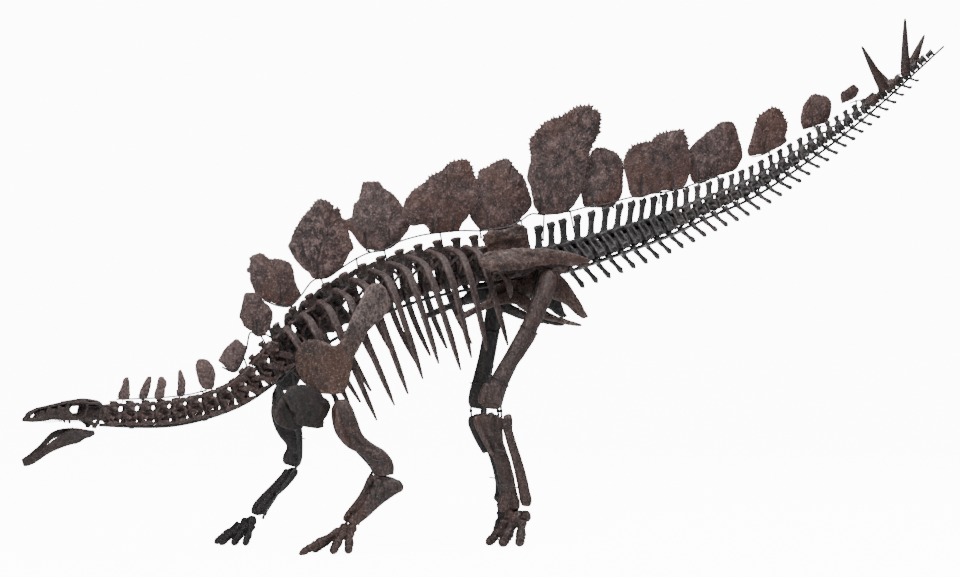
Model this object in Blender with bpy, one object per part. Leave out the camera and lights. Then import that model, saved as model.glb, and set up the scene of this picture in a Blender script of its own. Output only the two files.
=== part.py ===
# Mounted stegosaurus skeleton on a steel armature, in metres.
# +X runs to the tail, -X to the head, +Z is up. The animal's left side faces -Y.
# The origin is at the middle of the footprint, at the level of the soles.
import math

import bpy
import bmesh
from mathutils import Vector

for old in list(bpy.data.objects):
    bpy.data.objects.remove(old)

# Driving dimensions
GAP = 0.0004            # kept between pieces that touch
COLUMN_SIDES = 6        # faces round the vertebral column
NECK_START, NECK_END = -2.378, -1.372
BACK_END = -0.170
SACRUM_END = 0.100
TAIL_END = 2.740
NECK_COUNT, BACK_COUNT, SACRUM_COUNT, TAIL_COUNT = 12, 12, 3, 39
RAIL_RADIUS = 0.0085    # main steel bar under the column
ROD_RADIUS = 0.0080     # steel rods of the legs
WIRE_RADIUS = 0.0032    # wires that cradle the plates
PLATE_HALF = 0.013      # half thickness of the middle of a large plate
CM = 0.01

root = bpy.data.objects.new("skeleton_root", None)
bpy.context.scene.collection.objects.link(root)


def finish_of(name, colour, roughness, metallic=0.0):
    made = bpy.data.materials.new(name)
    made.use_nodes = True
    shader = made.node_tree.nodes["Principled BSDF"]
    shader.inputs["Base Color"].default_value = (*colour, 1.0)
    shader.inputs["Roughness"].default_value = roughness
    shader.inputs["Metallic"].default_value = metallic
    return made


PLATE_BONE = finish_of("plate_bone", (0.085, 0.062, 0.056), 0.60)
LIMB_BONE = finish_of("limb_bone", (0.078, 0.058, 0.052), 0.55)
COLUMN_BONE = finish_of("column_bone", (0.045, 0.038, 0.038), 0.55)
SKULL_BONE = finish_of("skull_bone", (0.090, 0.065, 0.056), 0.60)
STEEL = finish_of("painted_steel", (0.060, 0.060, 0.065), 0.45, 0.8)


def add_solid(name, bm, finish, sharp=35.0):
    bmesh.ops.triangulate(bm, faces=bm.faces)
    bmesh.ops.recalc_face_normals(bm, faces=bm.faces)
    mesh = bpy.data.meshes.new(name)
    bm.to_mesh(mesh)
    bm.free()
    mesh.materials.append(finish)
    mesh.shade_smooth()
    mesh.set_sharp_from_angle(angle=math.radians(sharp))
    made = bpy.data.objects.new(name, mesh)
    bpy.context.scene.collection.objects.link(made)
    made.parent = root
    return made


def as_tool(tool):
    tool.hide_render = True
    tool.display_type = "WIRE"
    return tool


def combine(target, tools, operation="UNION"):
    for tool in tools:
        as_tool(tool)
        step = target.modifiers.new(operation.title(), "BOOLEAN")
        step.operation = operation
        step.solver = "EXACT"
        step.object = tool
    return target


def smooth_row(rows, x):
    # a smooth curve through rows of (x, value, value, ...)
    i = 1
    while i < len(rows) - 1 and rows[i][0] < x:
        i += 1
    a, b = rows[i - 1], rows[i]
    before, after = rows[max(i - 2, 0)], rows[min(i + 1, len(rows) - 1)]
    run = b[0] - a[0]
    t = (x - a[0]) / run
    values = []
    for c in range(1, len(a)):
        slope_a = (b[c] - before[c]) / (b[0] - before[0]) * run
        slope_b = (after[c] - a[c]) / (after[0] - a[0]) * run
        values.append(
            (2 * t**3 - 3 * t**2 + 1) * a[c]
            + (t**3 - 2 * t**2 + t) * slope_a
            + (3 * t**2 - 2 * t**3) * b[c]
            + (t**3 - t**2) * slope_b
        )
    return values


# The column from skull to tail tip: x, height of its centre, half height of a centrum,
# height of the neural spines over the centre, drop of the steel bar below the centre
COLUMN = (
    (-2.42, 0.735, 0.026, 0.075, 0.045),
    (-2.20, 0.732, 0.029, 0.080, 0.056),
    (-2.00, 0.742, 0.034, 0.078, 0.064),
    (-1.80, 0.782, 0.037, 0.070, 0.064),
    (-1.62, 0.852, 0.040, 0.082, 0.068),
    (-1.46, 0.970, 0.042, 0.125, 0.080),
    (-1.30, 1.092, 0.042, 0.175, 0.080),
    (-1.10, 1.200, 0.042, 0.215, 0.074),
    (-0.85, 1.310, 0.043, 0.232, 0.066),
    (-0.55, 1.402, 0.045, 0.240, 0.062),
    (-0.25, 1.460, 0.047, 0.228, 0.062),
    (0.08, 1.515, 0.049, 0.215, 0.064),
    (0.30, 1.556, 0.050, 0.225, 0.066),
    (0.60, 1.640, 0.046, 0.212, 0.060),
    (0.90, 1.735, 0.041, 0.178, 0.057),
    (1.20, 1.855, 0.036, 0.135, 0.056),
    (1.50, 1.975, 0.031, 0.118, 0.054),
    (1.80, 2.145, 0.027, 0.100, 0.050),
    (2.10, 2.332, 0.022, 0.076, 0.042),
    (2.35, 2.505, 0.017, 0.052, 0.034),
    (2.60, 2.694, 0.012, 0.030, 0.026),
    (2.74, 2.800, 0.007, 0.014, 0.020),
    (2.82, 2.862, 0.005, 0.010, 0.018),
)
SIDE = Vector((0.0, 1.0, 0.0))


def column_at(x):
    z, radius, spine, drop = smooth_row(COLUMN, x)
    ahead, behind = smooth_row(COLUMN, x + 0.004)[0], smooth_row(COLUMN, x - 0.004)[0]
    along = Vector((0.008, 0.0, ahead - behind)).normalized()
    up = Vector((-along.z, 0.0, along.x))
    return Vector((x, 0.0, z)), along, up, radius, spine, drop


def joints_between(start, end, count, taper=1.0):
    # boundaries of count vertebrae, each longer or shorter than the last by the same ratio
    samples = [start + (end - start) * k / 400 for k in range(401)]
    lengths = [0.0]
    for a, b in zip(samples, samples[1:]):
        lengths.append(lengths[-1] + (column_at(b)[0] - column_at(a)[0]).length)
    ratio = taper ** (1.0 / max(count - 1, 1))
    shares = [ratio**k for k in range(count)]
    total, reached, marks = sum(shares), 0.0, [start]
    for share in shares:
        reached += share / total * lengths[-1]
        k = min(range(401), key=lambda n: abs(lengths[n] - reached))
        marks.append(samples[k])
    return marks


def grow(bm, corners, sections):
    # carries a four-cornered face along sections of (centre, along, around)
    signs = ((-1, -1), (-1, 1), (1, 1), (1, -1))
    last = corners
    for centre, a, b in sections:
        new = [bm.verts.new(centre + a * s + b * q) for s, q in signs]
        for m in range(4):
            n = (m + 1) % 4
            bm.faces.new((last[m], last[n], new[n], new[m]))
        last = new
    bm.faces.new(last)


def spinal_column(bm, marks, growths, width=0.95):
    # one ring where two centra meet; growths(i, face) gives what grows from that face
    rings = []
    for x in marks:
        centre, along, up, radius, spine, drop = column_at(x)
        ring = []
        for j in range(COLUMN_SIDES):
            turn = 2 * math.pi * j / COLUMN_SIDES
            across = SIDE * math.cos(turn) * radius * width + up * math.sin(turn) * radius
            ring.append(bm.verts.new(centre + across))
        rings.append(ring)
    for r, (a, b) in enumerate(zip(rings, rings[1:])):
        for j in range(COLUMN_SIDES):
            k = (j + 1) % COLUMN_SIDES
            corners = [a[j], a[k], b[k], b[j]]
            sections = growths(r, j)
            if sections:
                grow(bm, corners, sections)
            else:
                bm.faces.new(corners)
    bm.faces.new(rings[0])
    bm.faces.new(rings[-1])


FAR_UPPER, TOP, NEAR_UPPER, NEAR_LOWER, BOTTOM, FAR_LOWER = range(6)


def spine_sections(x, pitch, lean, base, tip, thick):
    # a neural spine: a narrow neck, then a blade that widens to its head
    centre, along, up, radius, spine, drop = column_at(x)
    low = centre + up * (radius + 0.28 * (spine - radius)) + along * lean * 0.3
    head = centre + up * spine + along * lean
    return (
        (low, along * base * pitch, SIDE * -thick * 0.8),
        (head, along * tip * pitch, SIDE * -thick),
    )


def process_sections(x, side, pitch, reach, rise, half_long, thick=0.006):
    # a transverse process that stands out to one side
    centre, along, up, radius, spine, drop = column_at(x)
    out = SIDE * side
    tip = centre + out * reach + up * rise
    direction = (tip - centre).normalized()
    around = along.cross(direction)
    return ((tip, along * half_long, around * thick),)


# Neck
neck_marks = joints_between(NECK_START, NECK_END, NECK_COUNT)


def neck_growth(i, face):
    x = (neck_marks[i] + neck_marks[i + 1]) / 2
    pitch = neck_marks[i + 1] - neck_marks[i]
    if face == TOP:
        return spine_sections(x, pitch, 0.004, 0.30, 0.30, 0.009)[1:]
    if face in (NEAR_UPPER, FAR_UPPER):
        side = -1 if face == NEAR_UPPER else 1
        return process_sections(x, side, pitch, 0.050 + 0.003 * i, 0.018, pitch * 0.24, 0.008)
    return None


bm = bmesh.new()
spinal_column(bm, neck_marks, neck_growth)
add_solid("neck_vertebrae", bm, COLUMN_BONE)

# Back vertebrae with their ribs: rib tip x, rib tip height, half width of the cage there,
# rise of the transverse process that carries the rib
RIBS = (
    (-1.17, 0.86, 0.165, 0.130),
    (-1.06, 0.76, 0.210, 0.148),
    (-0.925, 0.69, 0.255, 0.164),
    (-0.835, 0.77, 0.290, 0.178),
    (-0.765, 0.83, 0.315, 0.190),
    (-0.685, 0.91, 0.332, 0.194),
    (-0.595, 0.99, 0.340, 0.196),
    (-0.465, 0.955, 0.340, 0.198),
    (-0.400, 1.020, 0.335, 0.198),
    (-0.305, 1.06, 0.320, 0.192),
    (-0.165, 1.085, 0.290, 0.180),
    (-0.150, 1.345, 0.290, 0.035),
)
# Where a rib stands along its fall: share of the fall, share of the cage's half width
RIB_FORM = ((0.06, 0.76), (0.32, 1.0), (0.66, 0.97), (1.0, 0.80))
back_marks = joints_between(NECK_END + GAP, BACK_END, BACK_COUNT)


def rib_sections(i, x, side, pitch):
    centre, along, up, radius, spine, drop = column_at(x)
    tip_x, tip_z, half, rise = RIBS[i]
    out = SIDE * side
    process = centre + out * 0.095 + up * rise
    path = [process]
    for fall, spread in RIB_FORM:
        z = process.z + (tip_z - process.z) * fall
        x_here = process.x + 0.012 + (tip_x - process.x - 0.012) * fall**1.35
        path.append(Vector((x_here, side * half * spread, z)))
    halves = (0.023, 0.015, 0.018, 0.018, 0.011)
    thick = (0.010, 0.008, 0.008, 0.006, 0.005)
    sections = []
    for k, point in enumerate(path):
        ahead = path[min(k + 1, len(path) - 1)] - path[max(k - 1, 0)]
        ahead = Vector((0.0, ahead.y, ahead.z)).normalized()
        around = Vector((0.0, -ahead.z, ahead.y))
        sections.append((point, Vector((halves[k], 0.0, 0.0)), around * thick[k]))
    return sections


def back_growth(i, face):
    x = (back_marks[i] + back_marks[i + 1]) / 2
    pitch = back_marks[i + 1] - back_marks[i]
    if face == TOP:
        return spine_sections(x, pitch, -0.004, 0.30, 0.40, 0.011)
    if face in (NEAR_UPPER, FAR_UPPER):
        return rib_sections(i, x, -1 if face == NEAR_UPPER else 1, pitch)
    return None


bm = bmesh.new()
spinal_column(bm, back_marks, back_growth)
add_solid("rib_cage", bm, COLUMN_BONE)

# Tail with its chevrons
tail_marks = joints_between(SACRUM_END + GAP, TAIL_END, TAIL_COUNT, 0.80)
BROAD_TAIL = 12         # front tail vertebrae with broad transverse processes
UPRIGHT_TAIL = 4        # front tail vertebrae whose spines stand straight up
LAST_SPINE = 35
LAST_CHEVRON = 35


def spine_slant(i):
    # how far a tail spine leans back for each metre of its height
    return 0.15 if i < UPRIGHT_TAIL else 0.50 - 0.25 * (i - UPRIGHT_TAIL) / (TAIL_COUNT - UPRIGHT_TAIL)


def tail_growth(i, face):
    x = (tail_marks[i] + tail_marks[i + 1]) / 2
    pitch = tail_marks[i + 1] - tail_marks[i]
    centre, along, up, radius, spine, drop = column_at(x)
    if face == TOP:
        lean = spine_slant(i) * (spine - radius)
        if i < 8:
            return spine_sections(x, pitch, lean, 0.24, 0.26, 0.008)
        if i <= LAST_SPINE:
            return spine_sections(x, pitch, lean, 0.3, 0.32, 0.006)[1:]
    if face in (NEAR_UPPER, FAR_UPPER) and i < BROAD_TAIL:
        side = -1 if face == NEAR_UPPER else 1
        reach = 0.150 - 0.0085 * i
        out = SIDE * side
        tip = centre + out * reach - up * 0.004
        around = (SIDE * -0.1 * side + up) * side
        return ((tip, along * pitch * 0.25, around * 0.011),)
    if face == FAR_LOWER and 1 <= i <= LAST_CHEVRON:
        share = i / LAST_CHEVRON
        slope = math.radians(62 - 15 * share)
        down = along * math.cos(slope) - up * math.sin(slope)
        edge = along * math.sin(slope) + up * math.cos(slope)
        beside = RAIL_RADIUS * 1.1 + 0.0075
        below = centre - up * (drop + 0.014) + along * 0.014 + SIDE * beside
        tip = centre - up * (drop + 0.022) + down * (0.092 - 0.040 * share) + along * 0.020
        half = 0.008 - 0.003 * share
        return (
            (below, edge * half, SIDE * 0.0045),
            (tip, edge * half * 1.2, SIDE * 0.003),
        )
    return None


bm = bmesh.new()
spinal_column(bm, tail_marks, tail_growth)
add_solid("tail_vertebrae", bm, COLUMN_BONE)


def oval(centre, a, b, sides):
    # an edge of the ring, not a corner, faces against a
    shift = 0.5 if sides % 2 == 0 else 0.0
    ring = []
    for k in range(sides):
        turn = 2 * math.pi * (k + shift) / sides
        ring.append(centre + a * math.cos(turn) + b * math.sin(turn))
    return ring


def loft(bm, rings):
    rows = [[bm.verts.new(p) for p in ring] for ring in rings]
    for a, b in zip(rows, rows[1:]):
        for j in range(len(a)):
            k = (j + 1) % len(a)
            bm.faces.new((a[j], a[k], b[k], b[j]))
    bm.faces.new(rows[0])
    bm.faces.new(rows[-1])


def limb_rings(stations, sides, floor=None):
    # stations of (x, y, z, half width seen from the side, half depth)
    path = [Vector(s[:3]) for s in stations]
    rings = []
    for k, point in enumerate(path):
        along = (path[min(k + 1, len(path) - 1)] - path[max(k - 1, 0)]).normalized()
        a = SIDE.cross(along).normalized()
        b = along.cross(a)
        ring = oval(point, a * stations[k][3], b * stations[k][4], sides)
        if floor is not None:
            for corner in ring:
                corner.z = max(corner.z, floor)
        rings.append(ring)
    return rings


def limb(name, stations, finish, sides=7, floor=None):
    bm = bmesh.new()
    loft(bm, limb_rings(stations, sides, floor))
    return add_solid(name, bm, finish)


# Skull: x, top, bottom, half width at the top, half width at the bottom
SKULL = (
    (-2.808, 0.730, 0.712, 0.010, 0.012),
    (-2.770, 0.763, 0.708, 0.022, 0.024),
    (-2.700, 0.786, 0.712, 0.032, 0.034),
    (-2.640, 0.801, 0.720, 0.040, 0.042),
    (-2.575, 0.815, 0.708, 0.052, 0.052),
    (-2.500, 0.826, 0.706, 0.064, 0.062),
    (-2.450, 0.822, 0.690, 0.068, 0.064),
    (-2.415, 0.814, 0.690, 0.058, 0.056),
    (-2.392, 0.788, 0.706, 0.040, 0.040),
)
bm = bmesh.new()
rings = []
for x, top, bottom, high, low in SKULL:
    middle = (top + bottom) / 2
    rings.append([
        Vector((x, -high * 0.62, top)), Vector((x, high * 0.62, top)),
        Vector((x, high, top - 0.22 * (top - bottom))), Vector((x, low, middle - 0.1 * (top - bottom))),
        Vector((x, low * 0.8, bottom)), Vector((x, -low * 0.8, bottom)),
        Vector((x, -low, middle - 0.1 * (top - bottom))), Vector((x, -high, top - 0.22 * (top - bottom))),
    ])
loft(bm, rings)
skull = add_solid("skull", bm, SKULL_BONE)


def across_hole(name, x, z, half_x, half_z, sides=7, reach=0.12):
    bm = bmesh.new()
    centres = (Vector((x, -reach, z)), Vector((x, reach, z)))
    loft(bm, [oval(c, Vector((half_x, 0, 0)), Vector((0, 0, half_z)), sides) for c in centres])
    return add_solid(name, bm, SKULL_BONE)


orbit = across_hole("skull_orbit_tool", -2.533, 0.772, 0.038, 0.027, 6)
nostril = across_hole("skull_nostril_tool", -2.740, 0.747, 0.022, 0.011, 6)
combine(skull, [orbit, nostril], "DIFFERENCE")
quadrates = []
for side in (-1, 1):
    quadrate = limb(f"quadrate_tool_{side}", (
        (-2.452, side * 0.046, 0.715, 0.014, 0.012),
        (-2.450, side * 0.050, 0.690, 0.012, 0.010),
        (-2.442, side * 0.052, 0.6735, 0.014, 0.011),
    ), SKULL_BONE, sides=6)
    quadrates.append(quadrate)
combine(skull, quadrates)

# Lower jaw, swung a little to the left: one bar from the left hinge round the beak to the right hinge:
# x, top of the left branch, top of the right branch, bottom, y
JAW = (
    (-2.445, 0.660, 0.660, 0.640, 0.060),
    (-2.505, 0.672, 0.668, 0.616, 0.058),
    (-2.575, 0.663, 0.674, 0.588, 0.050),
    (-2.640, 0.628, 0.655, 0.566, 0.040),
    (-2.700, 0.580, 0.597, 0.538, 0.030),
    (-2.760, 0.540, 0.548, 0.500, 0.020),
)
JAW_HALF = 0.008
rings = []
for side in (-1, 1):
    half_jaw = []
    for x, top_left, top_right, bottom, y in JAW:
        top = top_left if side < 0 else top_right
        inner, outer = side * (y - JAW_HALF), side * (y + JAW_HALF)
        half_jaw.append([
            Vector((x, outer, top)), Vector((x, inner, top)),
            Vector((x, inner, bottom)), Vector((x, outer, bottom)),
        ])
    rings.append(half_jaw)
beak = [
    Vector((-2.812, 0.0, 0.512)), Vector((-2.790, 0.0, 0.525)),
    Vector((-2.780, 0.0, 0.490)), Vector((-2.806, 0.0, 0.482)),
]
bm = bmesh.new()
loft(bm, rings[0] + [beak] + rings[1][::-1])
add_solid("lower_jaw", bm, SKULL_BONE)

# Pelvis: the sacral vertebrae, their fused spines, and an ilium on each side
sacrum_marks = joints_between(BACK_END + GAP, SACRUM_END, SACRUM_COUNT)


def sacral_growth(i, face):
    x = (sacrum_marks[i] + sacrum_marks[i + 1]) / 2
    pitch = sacrum_marks[i + 1] - sacrum_marks[i]
    if face in (NEAR_UPPER, FAR_UPPER):
        side = -1 if face == NEAR_UPPER else 1
        return process_sections(x, side, pitch, 0.270, 0.082, pitch * 0.32, 0.014)
    if face == TOP:
        return spine_sections(x, pitch, -0.002, 0.494, 0.494, 0.013)
    return None


bm = bmesh.new()
spinal_column(bm, sacrum_marks, sacral_growth)
pelvis = add_solid("pelvis", bm, LIMB_BONE)
parts = []
# Ilium: x, y, z, half width, half height, of a blade that slopes down outwards
ILIUM = (
    (-0.430, 0.440, 1.530, 0.014, 0.018),
    (-0.370, 0.420, 1.530, 0.050, 0.036),
    (-0.250, 0.365, 1.545, 0.085, 0.044),
    (-0.120, 0.305, 1.558, 0.100, 0.036),
    (-0.020, 0.270, 1.568, 0.085, 0.030),
    (0.080, 0.250, 1.570, 0.075, 0.028),
    (0.180, 0.240, 1.562, 0.062, 0.032),
    (0.270, 0.235, 1.548, 0.040, 0.030),
    (0.325, 0.232, 1.535, 0.014, 0.016),
)
for side in (-1, 1):
    bm = bmesh.new()
    rings = []
    for x, y, z, wide, high in ILIUM:
        across = Vector((0.0, side * 0.88, -0.47))
        across = across * wide
        rings.append(oval(Vector((x, side * y, z)), across, Vector((0.0, 0.0, high)), 6))
    loft(bm, rings)
    parts.append(add_solid(f"ilium_tool_{side}", bm, LIMB_BONE))
combine(pelvis, parts)

# Pubis and ischium of each side
for side, hand in ((-1, "left"), (1, "right")):
    limb(f"pubis_{hand}", (
        (-0.478, side * 0.235, 1.236, 0.016, 0.014),
        (-0.445, side * 0.232, 1.240, 0.020, 0.018),
        (-0.300, side * 0.215, 1.302, 0.022, 0.014),
        (-0.180, side * 0.200, 1.345, 0.036, 0.016),
        (-0.080, side * 0.190, 1.352, 0.050, 0.018),
        (0.000, side * 0.165, 1.300, 0.030, 0.014),
        (0.120, side * 0.135, 1.245, 0.018, 0.012),
        (0.260, side * 0.115, 1.205, 0.016, 0.011),
        (0.350, side * 0.105, 1.190, 0.012, 0.010),
    ), LIMB_BONE, 6)
    limb(f"ischium_{hand}", (
        (0.020, side * 0.190, 1.440, 0.030, 0.016),
        (0.090, side * 0.180, 1.415, 0.045, 0.016),
        (0.160, side * 0.165, 1.370, 0.032, 0.014),
        (0.240, side * 0.150, 1.320, 0.028, 0.012),
        (0.320, side * 0.135, 1.275, 0.022, 0.011),
        (0.375, side * 0.128, 1.235, 0.014, 0.009),
    ), LIMB_BONE, 6)

# Shoulder blades: side outline of x, z on the left, bent round the chest
SCAPULA = (
    (-1.015, 1.415), (-0.965, 1.430), (-0.915, 1.395), (-0.895, 1.335), (-0.905, 1.285),
    (-0.940, 1.245), (-1.000, 1.200), (-1.045, 1.165), (-1.075, 1.105), (-1.100, 1.065),
    (-1.130, 1.010), (-1.140, 0.910), (-1.150, 0.850), (-1.200, 0.828), (-1.290, 0.828),
    (-1.330, 0.870), (-1.372, 0.940), (-1.385, 1.000), (-1.385, 1.075), (-1.365, 1.120),
    (-1.330, 1.150), (-1.275, 1.120), (-1.235, 1.092), (-1.200, 1.105), (-1.175, 1.160),
    (-1.150, 1.220), (-1.100, 1.290), (-1.060, 1.365),
)


def girdle_y(x, z):
    # how far out the shoulder blade lies: inwards at the chest, and over the ribs at its top
    forward = max(0.0, -1.20 - x)
    return 0.352 - 1.6 * forward**1.35 - 0.05 * max(0.0, z - 1.20) / 0.23


def slab(name, outline, surface, half, finish, inset=0.78):
    # a plate with a thin rim that follows surface(x, z)
    cx = sum(p[0] for p in outline) / len(outline)
    cz = sum(p[1] for p in outline) / len(outline)
    bm = bmesh.new()
    rim = [bm.verts.new(surface(x, z, 0.0)) for x, z in outline]
    for depth in (-half, half):
        ring = []
        for x, z in outline:
            ring.append(bm.verts.new(surface(cx + (x - cx) * inset, cz + (z - cz) * inset, depth)))
        for j in range(len(rim)):
            k = (j + 1) % len(rim)
            bm.faces.new((rim[j], rim[k], ring[k], ring[j]))
        bm.faces.new(ring)
    return add_solid(name, bm, finish)


for side, hand in ((-1, "left"), (1, "right")):
    # a blade bent and long: three bands between its front and rear edges
    bm = bmesh.new()
    loops = []
    for depth in (-0.010, 0.010):
        loops.append([Vector((x, side * (girdle_y(x, z) + depth), z)) for x, z in SCAPULA])
    rows = [[bm.verts.new(p) for p in loop] for loop in loops]
    count = len(SCAPULA)
    for j in range(count):
        k = (j + 1) % count
        bm.faces.new((rows[0][j], rows[0][k], rows[1][k], rows[1][j]))
    # the outline's two long edges run side by side, so strips join them across the blade
    pairs = ((1, 0), (2, 27), (3, 27), (4, 26), (5, 26), (6, 25), (7, 25), (8, 24), (9, 23), (10, 22),
             (11, 21), (12, 20), (13, 19), (14, 18), (15, 17), (16, 16))
    for row in rows:
        for (a, b), (c, d) in zip(pairs, pairs[1:]):
            ring = []
            for v in (row[a], row[c], row[d], row[b]):
                if v not in ring:
                    ring.append(v)
            path = [row[n] for n in range(a, c + 1)]
            back = [row[n] for n in range(d, b + 1)] if b >= d else [row[d]]
            if b == 0:
                back = [row[n % count] for n in range(d, count + 1)]
            corner = []
            for v in path + back:
                if v not in corner:
                    corner.append(v)
            if len(corner) >= 3:
                bm.faces.new(corner)
    add_solid(f"scapula_{hand}", bm, LIMB_BONE)

    # coracoid: a shield across the front of the chest
    turn = Vector((0.17, -side * -0.24, 0.0)).normalized()
    face = turn.cross(Vector((0, 0, 1)))

    def coracoid(x, z, depth, side=side, turn=turn, face=face):
        bow = 0.25 * (x * x + 0.3 * z * z)
        return Vector((-1.342, side * 0.172, 0.768)) + turn * x + Vector((0, 0, z)) + face * (depth + bow)

    shield = []
    for k in range(14):
        angle = 2 * math.pi * k / 14
        shield.append((0.148 * math.cos(angle), 0.118 * math.sin(angle) - 0.02 * math.cos(angle)))
    slab(f"coracoid_{hand}", shield, coracoid, 0.013, LIMB_BONE, 0.80)

# Upper arms, forearms and front feet: x, y, z, half width, half depth
LIMBS = {
    "humerus_left": (
        (-1.205, -0.350, 0.818, 0.022, 0.022), (-1.198, -0.350, 0.772, 0.048, 0.036),
        (-1.174, -0.350, 0.704, 0.060, 0.036), (-1.146, -0.350, 0.648, 0.070, 0.032),
        (-1.110, -0.350, 0.606, 0.074, 0.032), (-1.066, -0.350, 0.574, 0.062, 0.036),
        (-1.020, -0.350, 0.540, 0.055, 0.038), (-0.984, -0.350, 0.506, 0.060, 0.042),
        (-0.966, -0.350, 0.468, 0.060, 0.042), (-0.957, -0.350, 0.438, 0.052, 0.036),
        (-0.956, -0.350, 0.424, 0.036, 0.024)),
    "humerus_right": (
        (-1.280, 0.330, 0.790, 0.034, 0.028), (-1.268, 0.330, 0.755, 0.072, 0.038),
        (-1.242, 0.330, 0.690, 0.085, 0.036), (-1.215, 0.330, 0.625, 0.080, 0.034),
        (-1.194, 0.330, 0.575, 0.058, 0.034), (-1.184, 0.330, 0.535, 0.044, 0.036),
        (-1.190, 0.330, 0.497, 0.052, 0.040), (-1.205, 0.325, 0.462, 0.062, 0.040),
        (-1.214, 0.322, 0.432, 0.048, 0.032)),
    "ulna_left": (
        (-0.852, -0.372, 0.351, 0.018, 0.016), (-0.890, -0.372, 0.347, 0.040, 0.028),
        (-0.948, -0.372, 0.336, 0.060, 0.032), (-0.992, -0.372, 0.309, 0.062, 0.030),
        (-1.028, -0.370, 0.264, 0.044, 0.026), (-1.062, -0.368, 0.222, 0.035, 0.024),
        (-1.128, -0.362, 0.174, 0.032, 0.026),
        (-1.140, -0.362, 0.160, 0.024, 0.020)),
    "ulna_right": (
        (-1.160, 0.378, 0.400, 0.022, 0.020), (-1.190, 0.372, 0.386, 0.034, 0.026),
        (-1.235, 0.352, 0.350, 0.042, 0.030), (-1.292, 0.352, 0.298, 0.036, 0.026),
        (-1.355, 0.350, 0.248, 0.034, 0.024), (-1.398, 0.348, 0.203, 0.036, 0.024),
        (-1.410, 0.348, 0.170, 0.026, 0.020)),
    "radius_left": (
        (-0.998, -0.302, 0.388, 0.026, 0.022), (-1.012, -0.302, 0.358, 0.024, 0.020),
        (-1.048, -0.305, 0.304, 0.018, 0.016), (-1.094, -0.308, 0.246, 0.018, 0.018),
        (-1.138, -0.308, 0.192, 0.026, 0.020), (-1.148, -0.308, 0.170, 0.020, 0.014)),
    "radius_right": (
        (-1.236, 0.290, 0.404, 0.028, 0.022), (-1.262, 0.290, 0.370, 0.026, 0.020),
        (-1.312, 0.292, 0.305, 0.019, 0.016), (-1.370, 0.294, 0.238, 0.021, 0.018),
        (-1.408, 0.294, 0.192, 0.028, 0.020), (-1.414, 0.294, 0.174, 0.018, 0.013)),
    "femur_left": (
        (0.062, -0.262, 1.492, 0.030, 0.026), (0.058, -0.275, 1.462, 0.052, 0.050),
        (0.034, -0.300, 1.395, 0.055, 0.044), (-0.018, -0.312, 1.300, 0.053, 0.036),
        (-0.070, -0.318, 1.195, 0.050, 0.034), (-0.164, -0.320, 1.050, 0.046, 0.035),
        (-0.240, -0.320, 0.928, 0.050, 0.040),
        (-0.278, -0.320, 0.862, 0.060, 0.046), (-0.300, -0.320, 0.800, 0.066, 0.050),
        (-0.306, -0.320, 0.768, 0.062, 0.044), (-0.308, -0.320, 0.750, 0.040, 0.028)),
    "femur_right": (
        (0.056, 0.262, 1.492, 0.028, 0.026), (0.048, 0.275, 1.462, 0.050, 0.050),
        (0.028, 0.300, 1.390, 0.050, 0.044), (0.000, 0.312, 1.280, 0.043, 0.036),
        (-0.012, 0.318, 1.150, 0.043, 0.034), (-0.034, 0.320, 1.010, 0.048, 0.036),
        (-0.060, 0.320, 0.900, 0.054, 0.042), (-0.080, 0.320, 0.800, 0.064, 0.050),
        (-0.092, 0.320, 0.745, 0.062, 0.044), (-0.096, 0.320, 0.724, 0.040, 0.028)),
    "tibia_left": (
        (-0.318, -0.300, 0.718, 0.058, 0.034), (-0.320, -0.300, 0.696, 0.084, 0.044),
        (-0.314, -0.300, 0.644, 0.068, 0.042), (-0.296, -0.300, 0.600, 0.058, 0.036),
        (-0.272, -0.300, 0.555, 0.048, 0.032), (-0.246, -0.300, 0.500, 0.043, 0.030),
        (-0.210, -0.300, 0.390, 0.045, 0.030), (-0.193, -0.300, 0.290, 0.046, 0.034), (-0.194, -0.300, 0.232, 0.062, 0.038),
        (-0.198, -0.300, 0.206, 0.060, 0.036), (-0.198, -0.300, 0.191, 0.044, 0.030)),
    "tibia_right": (
        (-0.068, 0.300, 0.690, 0.058, 0.034), (-0.068, 0.300, 0.668, 0.082, 0.044),
        (-0.056, 0.300, 0.620, 0.064, 0.042), (-0.030, 0.300, 0.566, 0.050, 0.034),
        (0.004, 0.300, 0.490, 0.043, 0.030), (0.043, 0.300, 0.380, 0.045, 0.030),
        (0.062, 0.300, 0.280, 0.046, 0.034),
        (0.064, 0.300, 0.228, 0.060, 0.038), (0.062, 0.300, 0.204, 0.056, 0.036),
        (0.062, 0.300, 0.191, 0.042, 0.030)),
    "fibula_left": (
        (-0.246, -0.372, 0.708, 0.014, 0.014), (-0.236, -0.372, 0.655, 0.015, 0.014),
        (-0.200, -0.370, 0.540, 0.018, 0.014), (-0.156, -0.368, 0.410, 0.020, 0.015),
        (-0.127, -0.364, 0.300, 0.028, 0.017), (-0.124, -0.364, 0.255, 0.030, 0.016),
        (-0.124, -0.362, 0.224, 0.020, 0.012)),
    "fibula_right": (
        (0.006, 0.372, 0.680, 0.014, 0.014), (0.016, 0.372, 0.632, 0.015, 0.014),
        (0.050, 0.370, 0.525, 0.018, 0.014), (0.096, 0.368, 0.394, 0.020, 0.015),
        (0.128, 0.364, 0.290, 0.028, 0.017), (0.132, 0.364, 0.250, 0.030, 0.016),
        (0.132, 0.362, 0.224, 0.020, 0.012)),
}
for name, stations in LIMBS.items():
    slender = name.startswith(("radius", "ulna", "fibula"))
    limb(name, stations, LIMB_BONE, sides=6 if slender else 7)


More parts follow.
